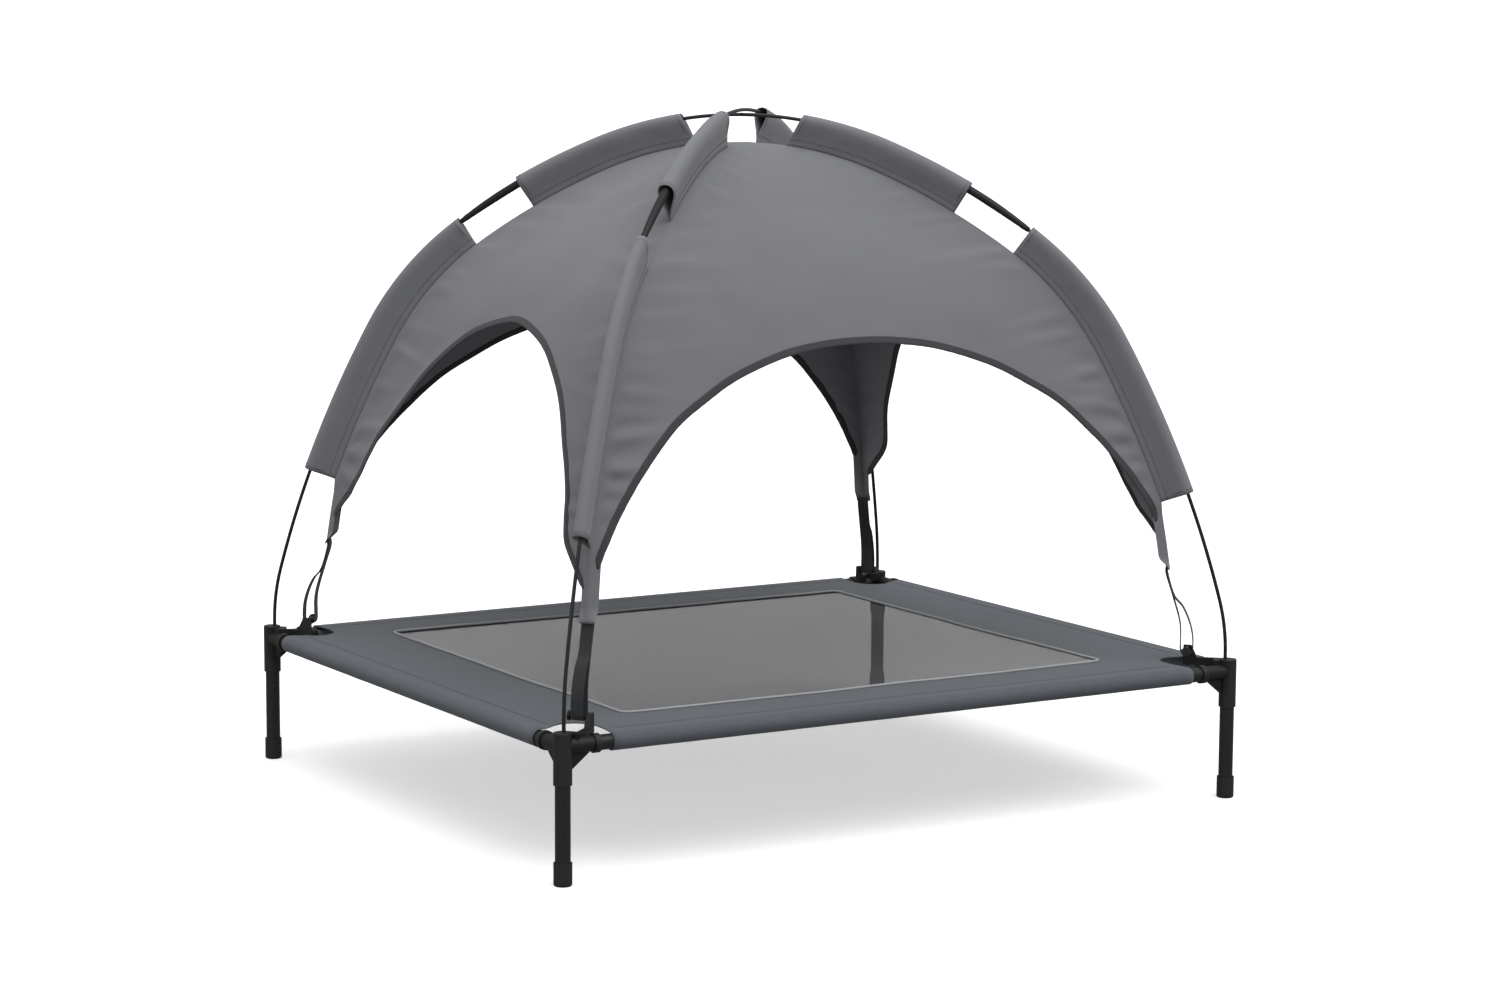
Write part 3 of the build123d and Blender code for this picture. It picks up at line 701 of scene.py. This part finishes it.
def gore_grid(side, folds):
    """Places of one gore: rows run along the seam and over the crown, columns from the seam to the arch."""
    sideways, out, half_span, distance = side_axes(side)
    outer, inner = gore_edges(side)
    steps = np.linspace(0, 1, ACROSS_ROWS + 1)
    steps = 0.75 * steps + 0.25 * (1 - np.cos(math.pi * steps)) / 2
    half = outer[:, None] * (1 - steps[None, :, None]) + inner[:, None] * steps[None, :, None]
    mirrored = half[::-1][1:].copy()
    mirrored[..., 0] *= -1
    flat = np.concatenate([half, mirrored])
    profile = ridge_at(flat[..., 1])
    seam_reach = profile[..., 0] * half_span / DIAGONAL
    places = (flat[..., :1] * sideways + (profile[..., :1] * distance / DIAGONAL) * out
              + profile[..., 1:] * np.array([0, 0, 1.0]))
    normals = unit(np.cross(np.gradient(places, axis=1), np.gradient(places, axis=0)))
    facing = np.sign((normals * (out + np.array([0, 0, 0.6]))).sum(-1, keepdims=True))
    normals *= np.where(facing == 0, 1, facing)
    normals = np.nan_to_num(normals)
    widths = np.linalg.norm(places[:, -1] - places[:, 0], axis=1)
    seed = SIDES.index(side) * 7.3
    drawn = [drawn_folds(SIDES.index(side) * 2 + half + 5) for half in (0, 1)]
    for i in range(places.shape[0]):
        row = min(i, 2 * RIDGE_ROWS - i)
        settled = min(1.0, max(0.0, (row - TAIL_ROWS) / 20))
        narrow = math.exp(-((widths[i] - LEG_WIDTH) / LEG_WIDTH) ** 2) if row < 0.45 * RIDGE_ROWS else 0.0
        for j in range(places.shape[1]):
            place = places[i, j]
            along = flat[i, j, 1] * RIDGE_LENGTH
            aside = max(0.0, seam_reach[i, j] - abs(flat[i, j, 0]))
            from_seam = widths[i] * steps[j]
            to_arch = widths[i] * (1 - steps[j])
            fade = min(1.0, from_seam / FOLD_FADE) * min(1.0, 0.1 + to_arch / FOLD_FADE) * settled
            broad = rough_noise(place, 7.0, seed) + 0.5 * rough_noise(place, 15.0, seed + 3)
            pulled = fold_height(drawn[i > RIDGE_ROWS], along, aside) * min(1.0, abs(flat[i, j, 0]) / 0.06)
            pucker = math.sin(along / PUCKER_WAVE + 2.5 * rough_noise(place, 12.0))
            pucker *= math.exp(-from_seam / PUCKER_REACH)
            leg = math.sin(along / LEG_WAVE + 3.0 * rough_noise(place, 18.0, seed)) * narrow
            move = folds * fade * (broad * 0.75 + pulled * 0.8 + leg * 0.4) + PUCKER_DEPTH * pucker * fade
            hollow = PANEL_HOLLOW * fade * math.sin(math.pi * steps[j])
            places[i, j] = place + normals[i, j] * (move - hollow)
    flatten_tails(places, sideways)
    uvs = np.stack([flat[..., 0], flat[..., 1] * RIDGE_LENGTH], axis=-1)
    return places, normals, uvs


def flatten_tails(places, sideways):
    """Presses the foot of each leg from a fold into a flat strip that faces outward."""
    for row in range(places.shape[0]):
        ridge = places[row, 0].copy()
        amount = min(1.0, max(0.0, (FLAT_FROM - ridge[2]) / FLAT_OVER))
        if amount > 0:
            amount = amount * amount * (3 - 2 * amount)
            along = unit(ridge * np.array([1, 1, 0]))
            inward = sideways * -np.sign(np.dot(ridge, sideways))
            across = unit(inward - along * np.dot(inward, along))
            for column in range(places.shape[1]):
                share = column / ACROSS_ROWS
                pressed = ridge + across * share * TAIL_HALF_WIDTH - along * 0.0012 * share
                places[row, column] = places[row, column] * (1 - amount) + pressed * amount


GORES = {}


def gore(side):
    if side not in GORES:
        GORES[side] = gore_grid(side, bpy.context.scene.dogbed_cloth.folds)
    return GORES[side]


class DOGBED_OT_canopy(bpy.types.Operator):
    """Make the canopy: one sheet of four gores that end in four folded tails."""

    bl_idname = "dogbed.canopy"
    bl_label = "Canopy cloth"

    def execute(self, context):
        vertices, faces, uvs = [], [], []
        for side in SIDES:
            places, _, flat = gore(side)
            rows, columns = places.shape[:2]
            faces += grid_faces(rows, columns, len(vertices))
            vertices += list(places.reshape(-1, 3))
            uvs += list(flat.reshape(-1, 2) + np.array([SIDES.index(side) * 1.3, 0]))
        finishes = [finish_of("canopy_cloth"), finish_of("lining_painted_light")]
        obj = new_object("canopy_shell", vertices, faces, finishes, uvs)
        clean(obj, 2e-5)
        if sum(face.normal.z * face.area for face in obj.data.polygons) < 0:
            obj.data.flip_normals()
        thicken(obj, context.scene.dogbed_cloth.thickness, 1)
        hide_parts(*[f"canopy_panel_{side}" for side in SIDES],
                    *[f"canopy_tail_{corner}" for corner in CORNERS])
        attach(obj, "canopy")
        return {"FINISHED"}


def evened(rows, passes=4):
    """Rows of vectors with small jumps between neighbours smoothed away; the two ends stay put."""
    rows = rows.copy()
    for _ in range(passes):
        rows[1:-1] = (rows[:-2] + 2 * rows[1:-1] + rows[2:]) / 4
    return rows


class DOGBED_OT_bindings(bpy.types.Operator):
    """Fold a ribbed tape around the edge of each arch and sew it down."""

    bl_idname = "dogbed.bindings"
    bl_label = "Arch bindings"

    def execute(self, context):
        for side in SIDES:
            places, normals, _ = gore(side)
            arch = slice(TAIL_ROWS, -TAIL_ROWS)
            edge = evened(places[arch, -1])
            inward = unit(evened(unit(places[arch, -6] - places[arch, -1])))
            faces_out = unit(evened(normals[arch, -6]))
            line = edge + inward * 0.0042
            count = len(line)
            sections = []
            for i in range(count):
                end = min(1.0, 0.35 + min(i, count - 1 - i) / 5)
                wave = 1 + 0.05 * noise.noise(Vector((i * 0.35, SIDES.index(side) * 5.0, 0)))
                sections.append(oval(0.0054 * wave * end, 0.0013 * end))
            tape = sweep(f"arch_tape_{side}", line, sections, [finish_of("binding")], faces_out)
            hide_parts(f"arch_binding_{side}")
            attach(tape, "canopy")
            sewn_part = slice(4, -4)
            seam = (edge + inward * 0.0072)[sewn_part]
            away = faces_out[sewn_part]
            rows = [(seam + away * 0.0011, away), (seam - away * 0.0019, -away)]
            sewn = stitches(f"arch_stitches_{side}", rows, finish_of("thread"))
            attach(sewn, "canopy")
        return {"FINISHED"}


# ---- Sleeves
TEARDROP = [(0.0, 0.0005), (0.12, 0.0009), (0.28, 0.0019), (0.45, 0.0036), (0.62, 0.0057), (0.8, 0.0077),
            (0.94, 0.0086)]


def sleeve_ring(rod, slope, base_slope, size, seed, mouth):
    """One section of a rod sleeve as (reach, height, lateral), from the seam over the rod and back down."""
    base = np.array(LOW_ROD.at(base_slope, -SEAM_DROP - 0.0012))
    top = np.array(rod.at(slope))
    out = unit(top - base)
    depth = float(np.linalg.norm(top - base))
    radius = 0.0084 * size
    half = [(share * depth, width * size) for share, width in TEARDROP]
    cap = [(depth + radius * math.sin(angle), radius * math.cos(angle))
           for angle in np.linspace(0.12, math.pi / 2, 6)]
    ring = half + cap
    ring += [(d, -w) for d, w in ring[::-1][1:]]
    lean = 0.0016 * noise.noise(Vector((slope * 6, seed, 0.3)))
    points = []
    for d, w in ring:
        share = d / depth
        ripple = 0.0012 * noise.noise(Vector((slope * 16, seed + share * 1.8, 1.0 if w > 0 else 5.0)))
        ripple *= math.sin(math.pi * min(1.0, share))
        flare = 1 + 0.12 * mouth * share
        place = base + out * d
        points.append((place[0], place[1], w * flare + lean * share + ripple))
    return points


class DOGBED_OT_sleeves(bpy.types.Operator):
    """Fold the eight rod sleeves, with open mouths and hemmed ends."""

    bl_idname = "dogbed.sleeves"
    bl_label = "Rod sleeves"

    def execute(self, context):
        for number, corner in enumerate(CORNERS):
            for level, ends in (("upper", UPPER_SLEEVE), ("lower", LOWER_SLEEVE)):
                self.make(corner, level, ends, number * 3.1 + (0 if level == "upper" else 20))
        return {"FINISHED"}

    def make(self, corner, level, ends, seed):
        rod = RODS[corner]
        slopes = LOW_ROD.slopes(*ends, 0.006)
        count = len(slopes)
        vertices, uvs, rings = [], [], []
        length = 0.0
        lean = CROWN_LEAN if level == "upper" else 0.0
        for i, slope in enumerate(slopes):
            base_reach = ends[0] - lean + (ends[1] - ends[0] + lean) * i / (count - 1)
            base_slope = LOW_ROD.slope_at(base_reach) if lean else slope
            if level == "upper":
                size = 1.0 + 0.22 * i / count
            else:
                size = 0.85 + 0.2 * min(1.0, i / (0.4 * count))
            mouth = math.exp(-min(i, count - 1 - i) / 3.0)
            section = sleeve_ring(rod, slope, base_slope, size, seed, mouth)
            ring = np.array([in_corner(corner, *point) for point in section])
            if rings:
                length += float(np.linalg.norm(ring[len(ring) // 2] - rings[-1][len(ring) // 2]))
            around = np.concatenate([[0], np.cumsum(np.linalg.norm(np.diff(ring, axis=0), axis=1))])
            rings.append(ring)
            vertices += list(ring)
            uvs += [(distance, length) for distance in around]
        obj = new_object(f"rod_sleeve_{level}_{corner}", vertices, grid_faces(count, len(rings[0])),
                         [finish_of("sleeve_cloth_painted_light"), finish_of("lining_painted_light")], uvs)
        clean(obj, 1e-6)
        centre = np.mean(vertices, axis=0)
        faced = sum((face.center - Vector(centre)).dot(face.normal) * face.area for face in obj.data.polygons)
        if faced < 0:
            obj.data.flip_normals()
        thicken(obj, 0.0009, 1)
        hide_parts(f"{level}_rod_sleeve_{corner}")
        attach(obj, "canopy")
        rows = []
        for end in (1, -2):
            ring = rings[end]
            middle_line = ring.mean(axis=0)
            away = unit(ring - middle_line)
            inner = slice(1, -1)
            rows.append((ring[inner] + away[inner] * 0.0001, away[inner]))
        columns = len(rings[0])
        for column in (2, columns - 3):
            line = np.array([ring[column] for ring in rings])
            sign = 1 if column == 2 else -1
            side = np.cross(outward(corner), np.array([0, 0, 1.0])) * -sign
            rows.append((line + side * 0.0001, np.tile(side, (len(line), 1))))
        sewn = stitches(f"sleeve_stitches_{level}_{corner}", rows, finish_of("thread"))
        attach(sewn, "canopy")


# ---- Webbing
class DOGBED_OT_webbing(bpy.types.Operator):
    """Make the four elastic webbing loops that hold the canopy down at its corners."""

    bl_idname = "dogbed.webbing"
    bl_label = "Webbing loops"

    def execute(self, context):
        top_reach = TAIL_REACH - 0.0045
        split_reach = top_reach + (BAR_REACH - top_reach) * 0.33
        half_thick = 0.0007
        bend = BAR_RADIUS + 0.0035 + half_thick
        low = BAR_HEIGHT - BAR_RADIUS + bend - half_thick
        strand = [(top_reach + 0.0008, TAIL_END + 0.005), (top_reach + 0.0012, TAIL_END - 0.006),
                  (split_reach + 0.0011, LOOP_SPLIT), (BAR_REACH - bend * 0.7, low + 0.058),
                  (BAR_REACH + bend * 0.4, low + 0.037), (BAR_REACH + bend * 0.92, low + 0.018),
                  (BAR_REACH + bend, low)]
        outer = evenly(rounded(strand, 12), 40)
        arc = [(BAR_REACH + bend * math.cos(a), low - bend * math.sin(a))
               for a in np.linspace(0, math.pi, 13)[1:-1]]
        back = [(top_reach - 0.0008, TAIL_END + 0.005), (top_reach - 0.0007, TAIL_END - 0.006),
                (split_reach - 0.0006, LOOP_SPLIT), (BAR_REACH - bend * 1.1, low + 0.035),
                (BAR_REACH - bend, low)]
        inner = evenly(rounded(back, 12), 40)[::-1]
        path = np.concatenate([outer, arc, inner])
        for corner in CORNERS:
            along = outward(corner)
            side = np.array([-along[1], along[0], 0.0])
            line = [in_corner(corner, reach, height) for reach, height in path]
            loop = sweep(f"elastic_loop_{corner}", line, oval(half_thick, 0.0085, 16, 5.0),
                         [finish_of("webbing")], side)
            across = 0.0062
            rows = []
            for height in (TAIL_END - 0.002, TAIL_END - 0.012):
                place = top_reach + (split_reach - top_reach) * (TAIL_END - height) / (TAIL_END - LOOP_SPLIT)
                points = [in_corner(corner, place + 0.0024, height, shift) for shift in (-across, across)]
                rows.append((points, [along, along]))
            sewn = stitches(f"elastic_stitches_{corner}", rows, finish_of("thread"), 0.002, 0.0008)
            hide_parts(f"webbing_loop_{corner}")
            start = in_corner(corner, BAR_REACH, BAR_HEIGHT + 0.01)
            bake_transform(loop)
            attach(sewn, "canopy")
        return {"FINISHED"}


# ---- Rods
class DOGBED_OT_rods(bpy.types.Operator):
    """Draw the two bent rods and their ferrules."""

    bl_idname = "dogbed.rods"
    bl_label = "Bent rods"

    def execute(self, context):
        for name, node, corner, other in (("crown_rod_high", "crown_rod_upper", "front_left", "back_right"),
                                          ("crown_rod_low", "crown_rod_lower", "front_right", "back_left")):
            rod = RODS[corner]
            half = [rod.at(slope) for slope in rod.slopes(0.0, ROD_JOIN, 0.006)]
            line = [in_corner(corner, *p) for p in half[::-1]] + [in_corner(other, *p) for p in half[1:]]
            self.tube(name, line, node)
        for corner in CORNERS:
            rod = RODS[corner]
            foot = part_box(f"lower_rod_{corner}")[0][2]
            line = [in_corner(corner, *rod.at(slope)) for slope in rod.slopes(ROD_JOIN, ROD_REACH, 0.006)]
            drop = np.linspace(line[-1][2], foot, 9)[1:]
            line += [in_corner(corner, ROD_REACH, height) for height in drop]
            self.tube(f"side_rod_{corner}", line, f"lower_rod_{corner}")
            self.ferrule(corner)
        return {"FINISHED"}

    def tube(self, name, line, node):
        obj = sweep(name, line, oval(ROD_RADIUS, ROD_RADIUS, 16, 2.0), [finish_of("rod")], self.level(line))
        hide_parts(node)
        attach(obj, "canopy")

    def level(self, line):
        """A steady sideways direction for a rod's section."""
        run = np.array(line[-1]) - np.array(line[0])
        return tuple(unit(np.cross(run, (0, 0, 1.0))))

    def ferrule(self, corner):
        """Tube over the joint of two rod sections, swaged down at its lower end."""
        rod = RODS[corner]
        slopes = rod.slopes(*JOINT_ENDS, 0.0035)
        line = [in_corner(corner, *rod.at(slope)) for slope in slopes]
        sections = []
        for i in range(len(line)):
            share = i / (len(line) - 1)
            swaged = 0.0056 - 0.0015 * max(0.0, (share - 0.45) / 0.55) ** 1.3
            if share > 0.96 or share < 0.03:
                swaged *= 0.9
            ring_mark = 0.00025 if 0.86 < share < 0.9 else 0.0
            sections.append(oval(swaged - ring_mark, swaged - ring_mark, 20, 2.0))
        obj = sweep(f"ferrule_{corner}", line, sections, [finish_of("plastic")], self.level(line))
        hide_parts(f"rod_joint_{corner}")
        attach(obj, "canopy")


# ---- Bed
def bed_height(x, y):
    """Height of the top of the bed cloth, taut at the rails and slightly slack inside."""
    sag = bpy.context.scene.dogbed_cloth.sag
    slack = max(0.0, 1 - (x / HALF_X) ** 2) * max(0.0, 1 - (y / HALF_Y) ** 2)
    waves = 0.0012 * rough_noise((x, y, 0.3), 6.0) + 0.0005 * rough_noise((x, y, 0.9), 17.0)
    return BED_TOP - 0.0003 - sag * slack ** 0.8 + waves * min(1.0, 5 * slack)


def bed_loops():
    """Matching points of the seam around the mesh and of the outer edge, and whether a rail lies there."""
    radius, run, sleeve_x, sleeve_y = 0.012, 0.06, HALF_X - NOTCH[0][0], HALF_Y - NOTCH[-1][1]
    turn = [(MESH_HALF_X - radius + radius * math.sin(a), MESH_HALF_Y - radius + radius * math.cos(a))
            for a in np.linspace(0, math.pi / 2, 9)]
    turn = evenly(turn + [(MESH_HALF_X, MESH_HALF_Y - run)], 25)
    notch = (HALF_X, HALF_Y) - evenly(rounded(NOTCH, 6), 25)
    inner, outer, railed = [], [], []
    turns = (("front", (1, -1)), ("right", (1, 1)), ("back", (-1, 1)), ("left", (-1, -1)))
    for side, (sign_x, sign_y) in turns:
        flat = side in ("front", "back")
        span = 70 if flat else 60
        for step in range(span):
            t = -1 + 2 * step / span
            if flat:
                inner.append((sign_x * t * (MESH_HALF_X - radius), sign_y * MESH_HALF_Y))
                outer.append((sign_x * t * sleeve_x, sign_y * HALF_Y))
            else:
                inner.append((sign_x * MESH_HALF_X, sign_y * t * (MESH_HALF_Y - run)))
                outer.append((sign_x * HALF_X, sign_y * t * sleeve_y))
            railed.append(side)
        order = slice(None, -1) if flat else slice(None, 0, -1)
        inner += list(turn[order] * (sign_x, sign_y))
        outer += list(notch[order] * (sign_x, sign_y))
        railed += [side] + [""] * (len(notch) - 2)
    return np.array(inner), np.array(outer), railed


class DOGBED_OT_bed(bpy.types.Operator):
    """Stretch the cloth border over the rails, with the mesh and its braid in the middle."""

    bl_idname = "dogbed.bed"
    bl_label = "Bed cloth and mesh"

    def execute(self, context):
        inner, outer, railed = bed_loops()
        self.border(inner, outer, railed)
        self.mesh()
        self.braid(inner)
        return {"FINISHED"}

    def border(self, inner, outer, railed):
        count, rings = len(inner), 14
        vertices, uvs, faces = [], [], []
        for i in range(count):
            for step in range(rings + 1):
                x, y = inner[i] * (1 - step / rings) + outer[i] * step / rings
                vertices.append((x, y, bed_height(x, y)))
                uvs.append((x, y))
        for i in range(count):
            n = (i + 1) % count
            for step in range(rings):
                a, b = i * (rings + 1) + step, n * (rings + 1) + step
                faces.append((a, b, b + 1, a + 1))
        for side in SIDES:
            self.wrap(side, [outer[i] for i in range(count) if railed[i] == side], vertices, uvs, faces)
        obj = new_object("bed_cloth", vertices, faces, [finish_of("border")], uvs)
        clean(obj, 3e-5)
        up = sum(face.normal.z * face.area for face in obj.data.polygons if abs(face.center.x) < 0.4)
        if up < 0:
            obj.data.flip_normals()
        thicken(obj, 0.0013)
        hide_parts("bed_border")
        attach(obj, "frame")

    def wrap(self, side, line, vertices, uvs, faces):
        """The sleeve of cloth around one rail, from the top round the outside and back underneath."""
        _, out, _, _ = side_axes(side)
        turns = 26
        start = len(vertices)
        for number, (x, y) in enumerate(line):
            top = bed_height(x, y)
            for step in range(turns + 1):
                angle = math.radians(5 + 300 * step / turns) if step else 0.0
                ease = min(1.0, step / 4)
                radius = HEM_RADIUS + 0.0002 * noise.noise(Vector((x * 30, y * 30, step * 0.3)))
                place = np.array([x, y, RAIL_HEIGHT]) + out * radius * math.sin(angle)
                height = RAIL_HEIGHT + radius * math.cos(angle)
                vertices.append((place[0], place[1], top if step == 0 else height * ease + top * (1 - ease)
                                 if step < 2 else height))
                uvs.append((x + out[0] * angle * radius, y + out[1] * angle * radius))
        faces += grid_faces(len(line), turns + 1, start)

    def mesh(self):
        across, along = 76, 70
        vertices, uvs = [], []
        for i in range(along + 1):
            for j in range(across + 1):
                x = -MESH_HALF_X - 0.004 + (2 * MESH_HALF_X + 0.008) * j / across
                y = -MESH_HALF_Y - 0.004 + (2 * MESH_HALF_Y + 0.008) * i / along
                vertices.append((x, y, bed_height(x, y) - 0.0016))
                uvs.append((x, y))
        obj = new_object("bed_mesh", vertices, grid_faces(along + 1, across + 1), [finish_of("mesh")], uvs)
        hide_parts("mesh_panel")
        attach(obj, "frame")

    def braid(self, inner):
        line = []
        for x, y in inner:
            drift = 0.0009 * rough_noise((x, y, 4.0), 9.0)
            x, y = x * (1 + drift), y * (1 + drift)
            line.append((x, y, bed_height(x, y) + 0.0012))
        line = evenly(line + [line[0]], 600)
        tape = sweep("braid_line", line[:-1], oval(0.0022, 0.0017, 10, 2.3), [finish_of("braid")],
                     (0, 0, 1.0), False)
        join_ring(tape)
        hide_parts("seam_braid")
        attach(tape, "frame")
        up = np.tile([0, 0, 1.0], (len(line), 1))
        sewn = stitches("braid_stitches", [(line + np.array([0, 0, 0.0015]), up)],
                        finish_of("pale_thread"))
        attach(sewn, "frame")
        rows = []
        for side in SIDES:
            sideways, out, half_span, distance = side_axes(side)
            points = []
            for t in np.linspace(-1, 1, 60):
                place = sideways * t * (half_span - 0.085) + out * (distance - 0.021)
                points.append((place[0], place[1], bed_height(place[0], place[1])))
            rows.append((points, up[:len(points)]))
        hem = stitches("border_stitches", rows, finish_of("thread"))
        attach(hem, "frame")


def join_ring(obj):
    """Closes a sweep whose line comes back to its start."""
    mesh = bmesh.new()
    mesh.from_mesh(obj.data)
    edges = [edge for edge in mesh.edges if edge.is_boundary]
    bmesh.ops.bridge_loops(mesh, edges=edges)
    bmesh.ops.recalc_face_normals(mesh, faces=mesh.faces)
    for face in mesh.faces:
        face.smooth = True
    mesh.to_mesh(obj.data)
    mesh.free()


# ---- Hard parts that stay as designed
HARD = {"plastic": ("corner_connector_", "foot_cap_", "rod_tip_"), "tube": ("leg_", "_rail")}


class DOGBED_OT_hard(bpy.types.Operator):
    """Give the tubes and mouldings their finishes and soften their edges."""

    bl_idname = "dogbed.hard"
    bl_label = "Tubes and mouldings"

    def execute(self, context):
        for node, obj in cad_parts.items():
            for finish, marks in HARD.items():
                if any(mark in node for mark in marks):
                    obj.data.materials.clear()
                    obj.data.materials.append(finish_of(finish))
                    self.soften(obj, context.scene.dogbed_hard.edge_radius)
        return {"FINISHED"}

    def soften(self, obj, radius):
        edge = obj.modifiers.new("Edge radius", "BEVEL")
        edge.width = radius
        edge.segments = 2
        edge.limit_method = "ANGLE"
        edge.angle_limit = math.radians(35)
        edge.harden_normals = True


# ---- Studio
CAMERA_PLACE = (-2.6615, -4.4686, 1.1188)
CAMERA_TURN = math.radians(30.928)
CAMERA_DIP = math.radians(7.878)
CAMERA_ROLL = math.radians(0.3)
CAMERA_LENS = 89.21


class DOGBED_OT_studio(bpy.types.Operator):
    """Set the floor, the soft lights and the camera."""

    bl_idname = "dogbed.studio"
    bl_label = "Studio"

    def execute(self, context):
        settings = context.scene.dogbed_studio
        self.floor(settings.floor_colour)
        self.camera(context)
        self.surround(context, settings.surround)
        self.light("key", (0.2, -2.2, 4.0), settings.key_power, 55)
        self.light("fill", (-3.2, -1.5, 2.4), settings.key_power * 0.18, 80)
        context.scene.view_settings.view_transform = "Standard"
        return {"FINISHED"}

    def floor(self, colour):
        size = 600.0
        corners = [(-size, -size, 0), (size, -size, 0), (size, size, 0), (-size, size, 0)]
        ground = new_object("studio_floor", corners, [(0, 1, 2, 3)], [])
        finish = Finish("studio_floor", Roughness=0.9, Specular_IOR_Level=0.0, Emission_Strength=0.5)
        finish.shader.inputs["Base Color"].default_value = tuple(colour)
        finish.shader.inputs["Emission Color"].default_value = (1.0, 1.0, 1.0, 1.0)
        ground.data.materials.append(finish.material)
        ground.visible_diffuse = False
        ground.visible_glossy = False

    def surround(self, context, level):
        """Light from all round that grows with height, behind a plain white backdrop."""
        world = bpy.data.worlds.new("studio")
        world.use_nodes = True
        nodes, links = world.node_tree.nodes, world.node_tree.links
        place = nodes.new("ShaderNodeTexCoord")
        split = nodes.new("ShaderNodeSeparateXYZ")
        grade = nodes.new("ShaderNodeMapRange")
        grade.inputs["From Min"].default_value = -1.0
        ramp = nodes.new("ShaderNodeValToRGB")
        stops = ((0.0, 0.3), (0.48, 0.4), (0.56, 0.52), (1.0, 0.95))
        Finish.set_stops(None, ramp.color_ramp, stops)
        links.new(place.outputs["Generated"], split.inputs[0])
        links.new(split.outputs["Z"], grade.inputs["Value"])
        links.new(grade.outputs["Result"], ramp.inputs["Fac"])
        links.new(ramp.outputs["Color"], nodes["Background"].inputs["Color"])
        nodes["Background"].inputs["Strength"].default_value = level
        backdrop = nodes.new("ShaderNodeBackground")
        backdrop.inputs["Color"].default_value = (1.0, 1.0, 1.0, 1.0)
        seen = nodes.new("ShaderNodeLightPath")
        choice = nodes.new("ShaderNodeMixShader")
        links.new(seen.outputs["Is Camera Ray"], choice.inputs["Fac"])
        links.new(nodes["Background"].outputs["Background"], choice.inputs[1])
        links.new(backdrop.outputs["Background"], choice.inputs[2])
        links.new(choice.outputs["Shader"], nodes["World Output"].inputs["Surface"])
        context.scene.world = world

    def light(self, name, place, power, spread):
        """A wide soft light that reaches the floor evenly."""
        lamp = bpy.data.lights.new(name, "SUN")
        lamp.energy = power
        lamp.angle = math.radians(spread)
        obj = bpy.data.objects.new(name, lamp)
        obj.location = place
        obj.rotation_euler = (-Vector(place)).to_track_quat("-Z", "Y").to_euler()
        bpy.context.scene.collection.objects.link(obj)

    def camera(self, context):
        lens = bpy.data.cameras.new("camera")
        lens.lens = CAMERA_LENS
        lens.sensor_width = 36.0
        lens.clip_end = 2000.0
        obj = bpy.data.objects.new("camera", lens)
        level = math.cos(CAMERA_DIP)
        forward = Vector((math.sin(CAMERA_TURN) * level, math.cos(CAMERA_TURN) * level,
                          -math.sin(CAMERA_DIP)))
        right = Vector((math.cos(CAMERA_TURN), -math.sin(CAMERA_TURN), 0))
        up = right.cross(forward)
        across = right * math.cos(CAMERA_ROLL) + up * math.sin(CAMERA_ROLL)
        top = up * math.cos(CAMERA_ROLL) - right * math.sin(CAMERA_ROLL)
        turned = Matrix((across, top, -forward)).transposed().to_4x4()
        obj.matrix_world = Matrix.Translation(CAMERA_PLACE) @ turned
        context.scene.collection.objects.link(obj)
        context.scene.camera = obj


# ---- Add-on
OPERATORS = (DOGBED_OT_rods, DOGBED_OT_canopy, DOGBED_OT_bindings, DOGBED_OT_sleeves, DOGBED_OT_webbing,
             DOGBED_OT_bed, DOGBED_OT_hard, DOGBED_OT_studio)


class DOGBED_PT_panel(bpy.types.Panel):
    """Dog bed pieces and settings."""

    bl_idname = "DOGBED_PT_panel"
    bl_label = "Dog bed"
    bl_space_type = "VIEW_3D"
    bl_region_type = "UI"
    bl_category = "Dog bed"

    def draw(self, context):
        for group in ("dogbed_cloth", "dogbed_hard", "dogbed_studio"):
            settings = getattr(context.scene, group)
            box = self.layout.box()
            for key in settings.__annotations__:
                box.prop(settings, key)
        for operator in OPERATORS:
            self.layout.operator(operator.bl_idname)


GROUPS = {"dogbed_cloth": ClothSettings, "dogbed_hard": HardSettings, "dogbed_studio": StudioSettings}


def register():
    for group, settings in GROUPS.items():
        bpy.utils.register_class(settings)
        setattr(bpy.types.Scene, group, bpy.props.PointerProperty(type=settings))
    for item in OPERATORS + (DOGBED_PT_panel,):
        bpy.utils.register_class(item)


def unregister():
    for item in reversed(OPERATORS + (DOGBED_PT_panel,)):
        bpy.utils.unregister_class(item)
    for group, settings in GROUPS.items():
        delattr(bpy.types.Scene, group)
        bpy.utils.unregister_class(settings)


def main():
    register()
    for operator in OPERATORS:
        family, name = operator.bl_idname.split(".")
        getattr(getattr(bpy.ops, family), name)()


if __name__ == "__main__":
    main()
